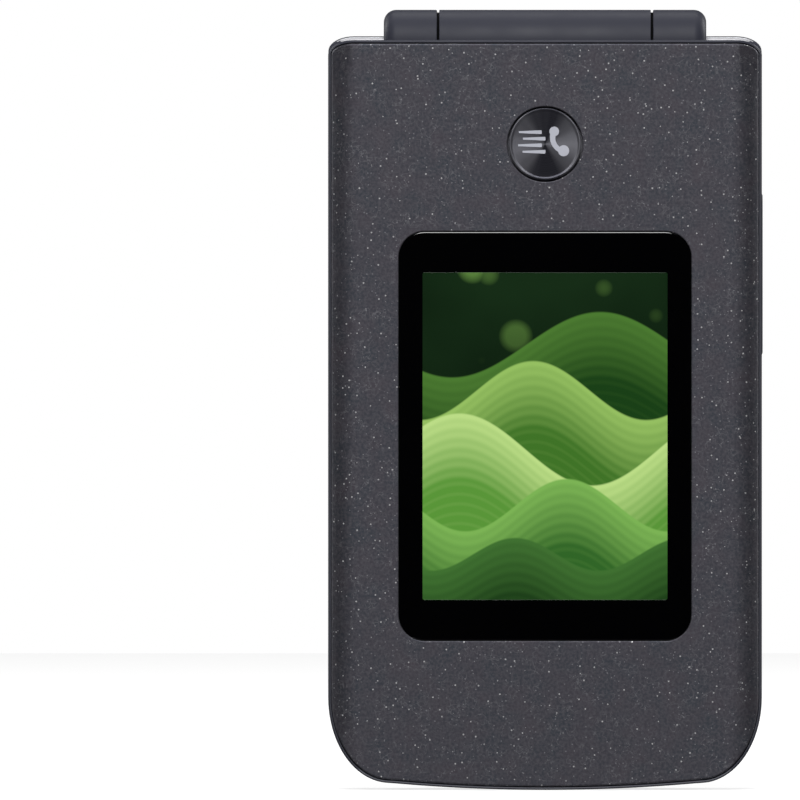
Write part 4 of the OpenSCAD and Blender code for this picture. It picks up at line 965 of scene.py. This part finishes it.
def legend(name, text, x, z, size, body):
    """A plain numeral or sign, lying in a key's face."""
    curve = bpy.data.curves.new(name, "FONT")
    curve.body = text
    curve.align_x, curve.align_y = "CENTER", "CENTER"
    curve.size = size * MM
    curve.extrude = 0.03 * MM
    holder = link_object(name + "_curve", curve)
    graph = bpy.context.evaluated_depsgraph_get()
    mesh = bpy.data.meshes.new_from_object(holder.evaluated_get(graph))
    bpy.data.objects.remove(holder)
    y = Y_DECK - 0.16
    xs, ys = [v.co.x for v in mesh.vertices], [v.co.y for v in mesh.vertices]
    mid = (min(xs) + max(xs)) / 2, (min(ys) + max(ys)) / 2
    for v in mesh.vertices:
        v.co = Vector((x * MM + v.co.x - mid[0], y * MM + v.co.z, z * MM + v.co.y - mid[1]))
    finish_piece(link_object(name, mesh), LEGEND, body, smooth=False)


def keys():
    signs = {"star": "*", "hash": "#"}
    for name, x, z, w, h in KEYS:
        crowned_cap(name, x, z, w, h)
        if name.startswith("key_"):
            word = name[4:]
            legend(f"{name}_legend", signs.get(word, word), x, z, 13 if word == "star" else 6.2, name)
    front = Y_DECK - 0.19
    for name, x in (("soft_key_left", -SIDE_KEY_X), ("soft_key_right", SIDE_KEY_X)):
        dash = prisms([rounded_rect(4.2, 0.7, 0.34, x, NAV_Z + SIDE_KEY_DZ)], front, Y_DECK - 0.1)
        new_object(f"{name}_legend", *dash, LEGEND, name, slot="key", smooth=False)
    z = NAV_Z - SIDE_KEY_DZ - 0.2
    handset(-SIDE_KEY_X, z, 1.45, 40, front, 0.08, "talk_key_legend", GREEN, "talk_key")
    handset(SIDE_KEY_X, z, 1.45, 0, front, 0.08, "end_key_legend", RED, "end_key")


def navigation():
    y = Y_DECK - 0.1
    inner = OK_R + KEY_GAP
    flange_y, back = 1.37, 1.6
    profile = [(inner, back), (inner, 0.16), (inner + 0.05, 0.06), (inner + 0.16, 0.02), (6.2, 0.05),
               (7.6, 0.12), (9.0, 0.09), (9.9, 0.02), (10.15, 0.0), (10.3, 0.05), (NAV_R, 0.18),
               (NAV_R, flange_y), (NAV_FLANGE_R, flange_y), (NAV_FLANGE_R, back)]
    lathe_object("nav_ring", profile, (0, y, NAV_Z), NAV, "nav_ring", "y", 128, replaces=["nav_ring"],
                 slot="nav")
    marks = []
    for turn in (0, 90, 180, 270):
        a = math.radians(turn)
        marks.append([(px * math.cos(a) - pz * math.sin(a), NAV_Z + px * math.sin(a) + pz * math.cos(a))
                      for px, pz in ((7.3, -0.75), (8.35, 0), (7.3, 0.75))])
    new_object("nav_ring_marks", *prisms(marks, y + 0.04, y + 0.2), LEGEND, "nav_ring", slot="key",
               smooth=False)
    cap = [(0, 0.1), (1.5, 0.095), (3.0, 0.06), (4.1, 0.02), (4.5, 0.03), (4.72, 0.09), (4.82, 0.2),
           (OK_R, 0.34), (OK_R, 1.55), (0, 1.55)]
    lathe_object("ok_key", cap, (0, Y_DECK - KEY_RISE, NAV_Z), KEY, "ok_key", "y", 96, replaces=["ok_key"],
                 slot="key")


def volume_rocker():
    """The rocker's cap, its flat face rounded off all round."""
    face_x, back_x = BODY_W / 2 + ROCKER_RISE, 27.4
    rings = [[(face_x - depth, y, z) for y, z in rocker_loop(-inset)] for inset, depth in fillet(0.45, 6)]
    rings.append([(back_x, y, z) for y, z in rocker_loop(0)])
    new_object("volume_rocker", *stack_mesh(rings), FRAME, "volume_rocker", replaces=["volume_rocker"],
               slot="frame")


def rear_face():
    face = lambda x, z: Y_REAR - roll(x, REAR_ROLL)
    seam = lambda x, z: min(seam_depth(z, FIT), face(x, z) - 0.4)
    holes = [round_hole(RING_R + FIT, 0, CAMERA_Z)]
    holes += [rect_hole(2, 5.4, 0.98, x, CAMERA_Z) for x in SLOT_X]
    holes.append(rect_hole(3.1, 5.1, 1.53, FLASH_X, CAMERA_Z))
    columns = [side * (22.2 + 0.55 * i) for i in range(12) for side in (-1, 1)]
    vertices, faces = sheet_mesh(lambda i: outline(COVER_INSET + i, BASE_TOP), holes, face,
                                 lambda x, z: face(x, z) - REAR_WALL, -1, 0.25, 0.14, columns, (0.9, seam))
    cover = new_object("rear_face", vertices, faces, REAR_COVER, "rear_cover", replaces=["rear_cover"],
                       slot="cover", smooth=False)
    notch = mesh_object("tool", *prisms([rounded_rect(NOTCH_W, NOTCH_H, NOTCH_R, 0, NOTCH_Z)], 7.35, 12))
    cut(cover, hinge_tool(SWEEP_R, -SWEEP_END, SWEEP_END), notch)


def camera():
    profile = [(GLASS_R, 0.12), (GLASS_R + 0.1, 0.03), (GLASS_R + 0.22, 0.0), (5.35, 0.0), (5.55, 0.04),
               (5.7, 0.13), (5.77, 0.26), (RING_R, 0.42), (RING_R, 1.95), (6.4, 1.95), (6.4, 2.4), (4.15, 2.4), (4.15, 0.95),
               (GLASS_R, 0.95)]
    lathe_object("camera_ring", [(r, -h) for r, h in profile], (0, Y_RING, CAMERA_Z), CAMERA_BLACK,
                 "rear_cover", "y", 128, replaces=["camera_ring"], slot="black_part")
    spot, edge = 1.5, 4.7
    glass = [(spot, 0), (edge - 0.2, 0), (edge - 0.08, -0.03), (edge, -0.12), (edge, -0.6), (spot, -0.6)]
    lathe_object("camera_window", glass, (0, Y_RING - 0.22, CAMERA_Z), CAMERA_PRINT, "rear_cover", "y", 96,
                 replaces=["camera_window"], slot="glass")
    lathe_object("camera_window_clear", [(0, -0.01), (spot, -0.01), (spot, -0.6), (0, -0.6)],
                 (0, Y_RING - 0.22, CAMERA_Z), CAMERA_CLEAR, "rear_cover", "y", 64, slot="glass")


def speaker_gauze():
    """Black gauze just under the cover's three sound slots."""
    for i, x in enumerate(SLOT_X):
        flat_piece(f"speaker_gauze_{i}", rect_piece(1.98, 5.38, 0.98, x, CAMERA_Z), Y_REAR - 0.3, Y_REAR - 1.0,
                   GAUZE, "rear_cover", -1, 0.05, slot="black_part")


def flash():
    flat_piece("flash_window", rect_piece(2.96, 4.96, 1.46, FLASH_X, CAMERA_Z), Y_REAR + 0.05, Y_REAR - 0.95,
               FLASH, "rear_cover", -1, 0.6, replaces=["flash_window"], slot="flash")


def carried_over():
    """Materials of the CAD nodes that stay."""
    kinds = {
        STEEL: ["call_key_switch", "vibration_motor", "lid_magnet", "lid_screws", "hinge_cartridge",
                "hinge_stub", "shield_can", "microphone", "sim_holder", "usb_socket", "base_screws"],
        BOARD: ["lid_board", "main_board"],
        GOLD: ["battery_contacts", "dome_sheet", "antenna"],
        COPPER: ["hinge_flex"],
        BLACK: ["earpiece_receiver", "loudspeaker", "camera_module", "headphone_socket", "volume_switches",
                "lid_bumpers"],
        BATTERY: ["battery"],
        CHIP: ["flash_led"],
        CAMERA_BLACK: ["camera_lens"],
    }
    for material, names in kinds.items():
        for name in names:
            obj = NODES[name]
            obj.data.materials.clear()
            obj.data.materials.append(material)


# ---------- stage, lights and camera ----------

def seen_rays(tree):
    """1 for rays of the camera, of reflections and of clear materials, else 0."""
    path = tree.nodes.new("ShaderNodeLightPath")
    seen = path.outputs["Is Camera Ray"]
    for kind in ("Is Glossy Ray", "Is Transmission Ray"):
        larger = tree.nodes.new("ShaderNodeMath")
        larger.operation = "MAXIMUM"
        tree.links.new(seen, larger.inputs[0])
        tree.links.new(path.outputs[kind], larger.inputs[1])
        seen = larger.outputs[0]
    return seen


def white_stage_material(name):
    """Pale floor that shows white to the camera and keeps the object's shadow."""
    s = Surface(name, (0.42, 0.42, 0.42), 0.9, specular_ior_level=0.1)
    tree = s.tree
    light = tree.nodes.new("ShaderNodeEmission")
    light.inputs["Color"].default_value = (1, 1, 1, 1)
    light.inputs["Strength"].default_value = 0.73
    add = tree.nodes.new("ShaderNodeAddShader")
    mix = tree.nodes.new("ShaderNodeMixShader")
    tree.links.new(s.shader.outputs[0], add.inputs[0])
    tree.links.new(light.outputs[0], add.inputs[1])
    tree.links.new(seen_rays(tree), mix.inputs[0])
    tree.links.new(s.shader.outputs[0], mix.inputs[1])
    tree.links.new(add.outputs[0], mix.inputs[2])
    tree.links.new(mix.outputs[0], tree.nodes["Material Output"].inputs["Surface"])
    return s.material


def plane(name, corners, material):
    mesh = bpy.data.meshes.new(name)
    mesh.from_pydata(corners, [], [(0, 1, 2, 3)])
    mesh.materials.append(material)
    return link_object(name, mesh)


def stage():
    corners = [(-1.5, -1.5, 0), (1.5, -1.5, 0), (1.5, 1.5, 0), (-1.5, 1.5, 0)]
    floor = plane("floor", corners, white_stage_material("floor_white"))
    floor.visible_glossy = False
    floor.visible_transmission = False


def world():
    """White to the camera and in reflections, and a plain even light on the object."""
    w = bpy.data.worlds.new("studio")
    bpy.context.scene.world = w
    w.use_nodes = True
    tree = w.node_tree
    background = tree.nodes["Background"]
    level = tree.nodes.new("ShaderNodeMapRange")
    level.inputs["To Min"].default_value = 0.2
    level.inputs["To Max"].default_value = 1.0
    tree.links.new(seen_rays(tree), level.inputs["Value"])
    tree.links.new(level.outputs[0], background.inputs["Strength"])
    background.inputs["Color"].default_value = (1, 1, 1, 1)


def softbox(name, place, target, size, power):
    light = bpy.data.lights.new(name, "AREA")
    light.shape = "RECTANGLE"
    light.size, light.size_y = size
    light.energy = power
    obj = link_object(name, light)
    obj.location = place
    obj.rotation_euler = (Vector(target) - Vector(place)).to_track_quat("-Z", "Y").to_euler()


def wall(name, place, turned):
    """A black studio wall, unseen by the camera, that keeps reflections in gloss and glass dark."""
    side = (0, WALL_W) if turned else (WALL_W, 0)
    corners = [(a * side[0], a * side[1], b * WALL_H) for a, b in ((-1, -1), (1, -1), (1, 1), (-1, 1))]
    cloth = Surface(name + "_cloth", (0, 0, 0), 1.0, specular_ior_level=0.0).material
    obj = plane(name, corners, cloth)
    obj.location = place
    obj.visible_camera = False
    obj.visible_shadow = False
    obj.visible_diffuse = False


def lights():
    middle = (0, 0, 0.055)
    softbox("key_light", (-0.05, -1.15, 1.0), middle, (0.5, 0.8), 19.5)
    softbox("top_light", (0, 0.5, 1.1), middle, (0.8, 0.4), 3)
    softbox("back_light_left", (-1.2, 0.85, 0.6), middle, (0.5, 0.6), 8)
    softbox("back_light_right", (1.2, 0.85, 0.6), middle, (0.5, 0.6), 10)
    wall("front_wall", (0, -WALL_W, 0), False)
    wall("back_wall", (0, WALL_W, 0), False)
    wall("left_wall", (-WALL_W, 0, 0), True)
    wall("right_wall", (WALL_W, 0, 0), True)


def camera_view():
    """The photograph's front view: a long lens far in front of the phone, aimed beside it so that the phone
    stands right of the picture's middle."""
    pixel = 0.13594 * MM
    photo_size, foot_x, foot_z, sensor = 800, 545, 790, 36
    place = Vector((0, -5.0, 0.08))
    target = Vector(((photo_size / 2 - foot_x) * pixel, Y_LID * MM, (foot_z - photo_size / 2) * pixel))
    data = bpy.data.cameras.new("camera")
    data.sensor_width = sensor
    data.lens = sensor * (target - place).length / (photo_size * pixel)
    data.clip_start, data.clip_end = 0.01, 20
    obj = link_object("camera", data)
    obj.location = place
    obj.rotation_euler = (target - place).to_track_quat("-Z", "Y").to_euler()
    bpy.context.scene.camera = obj


lid_shell()
lid_face()
outer_window()
call_key()
lid_inside()
grille()
base_shell()
fascia()
keys()
navigation()
volume_rocker()
rear_face()
camera()
speaker_gauze()
flash()
carried_over()
stage()
world()
lights()
camera_view()
bpy.context.scene.view_settings.view_transform = "Standard"
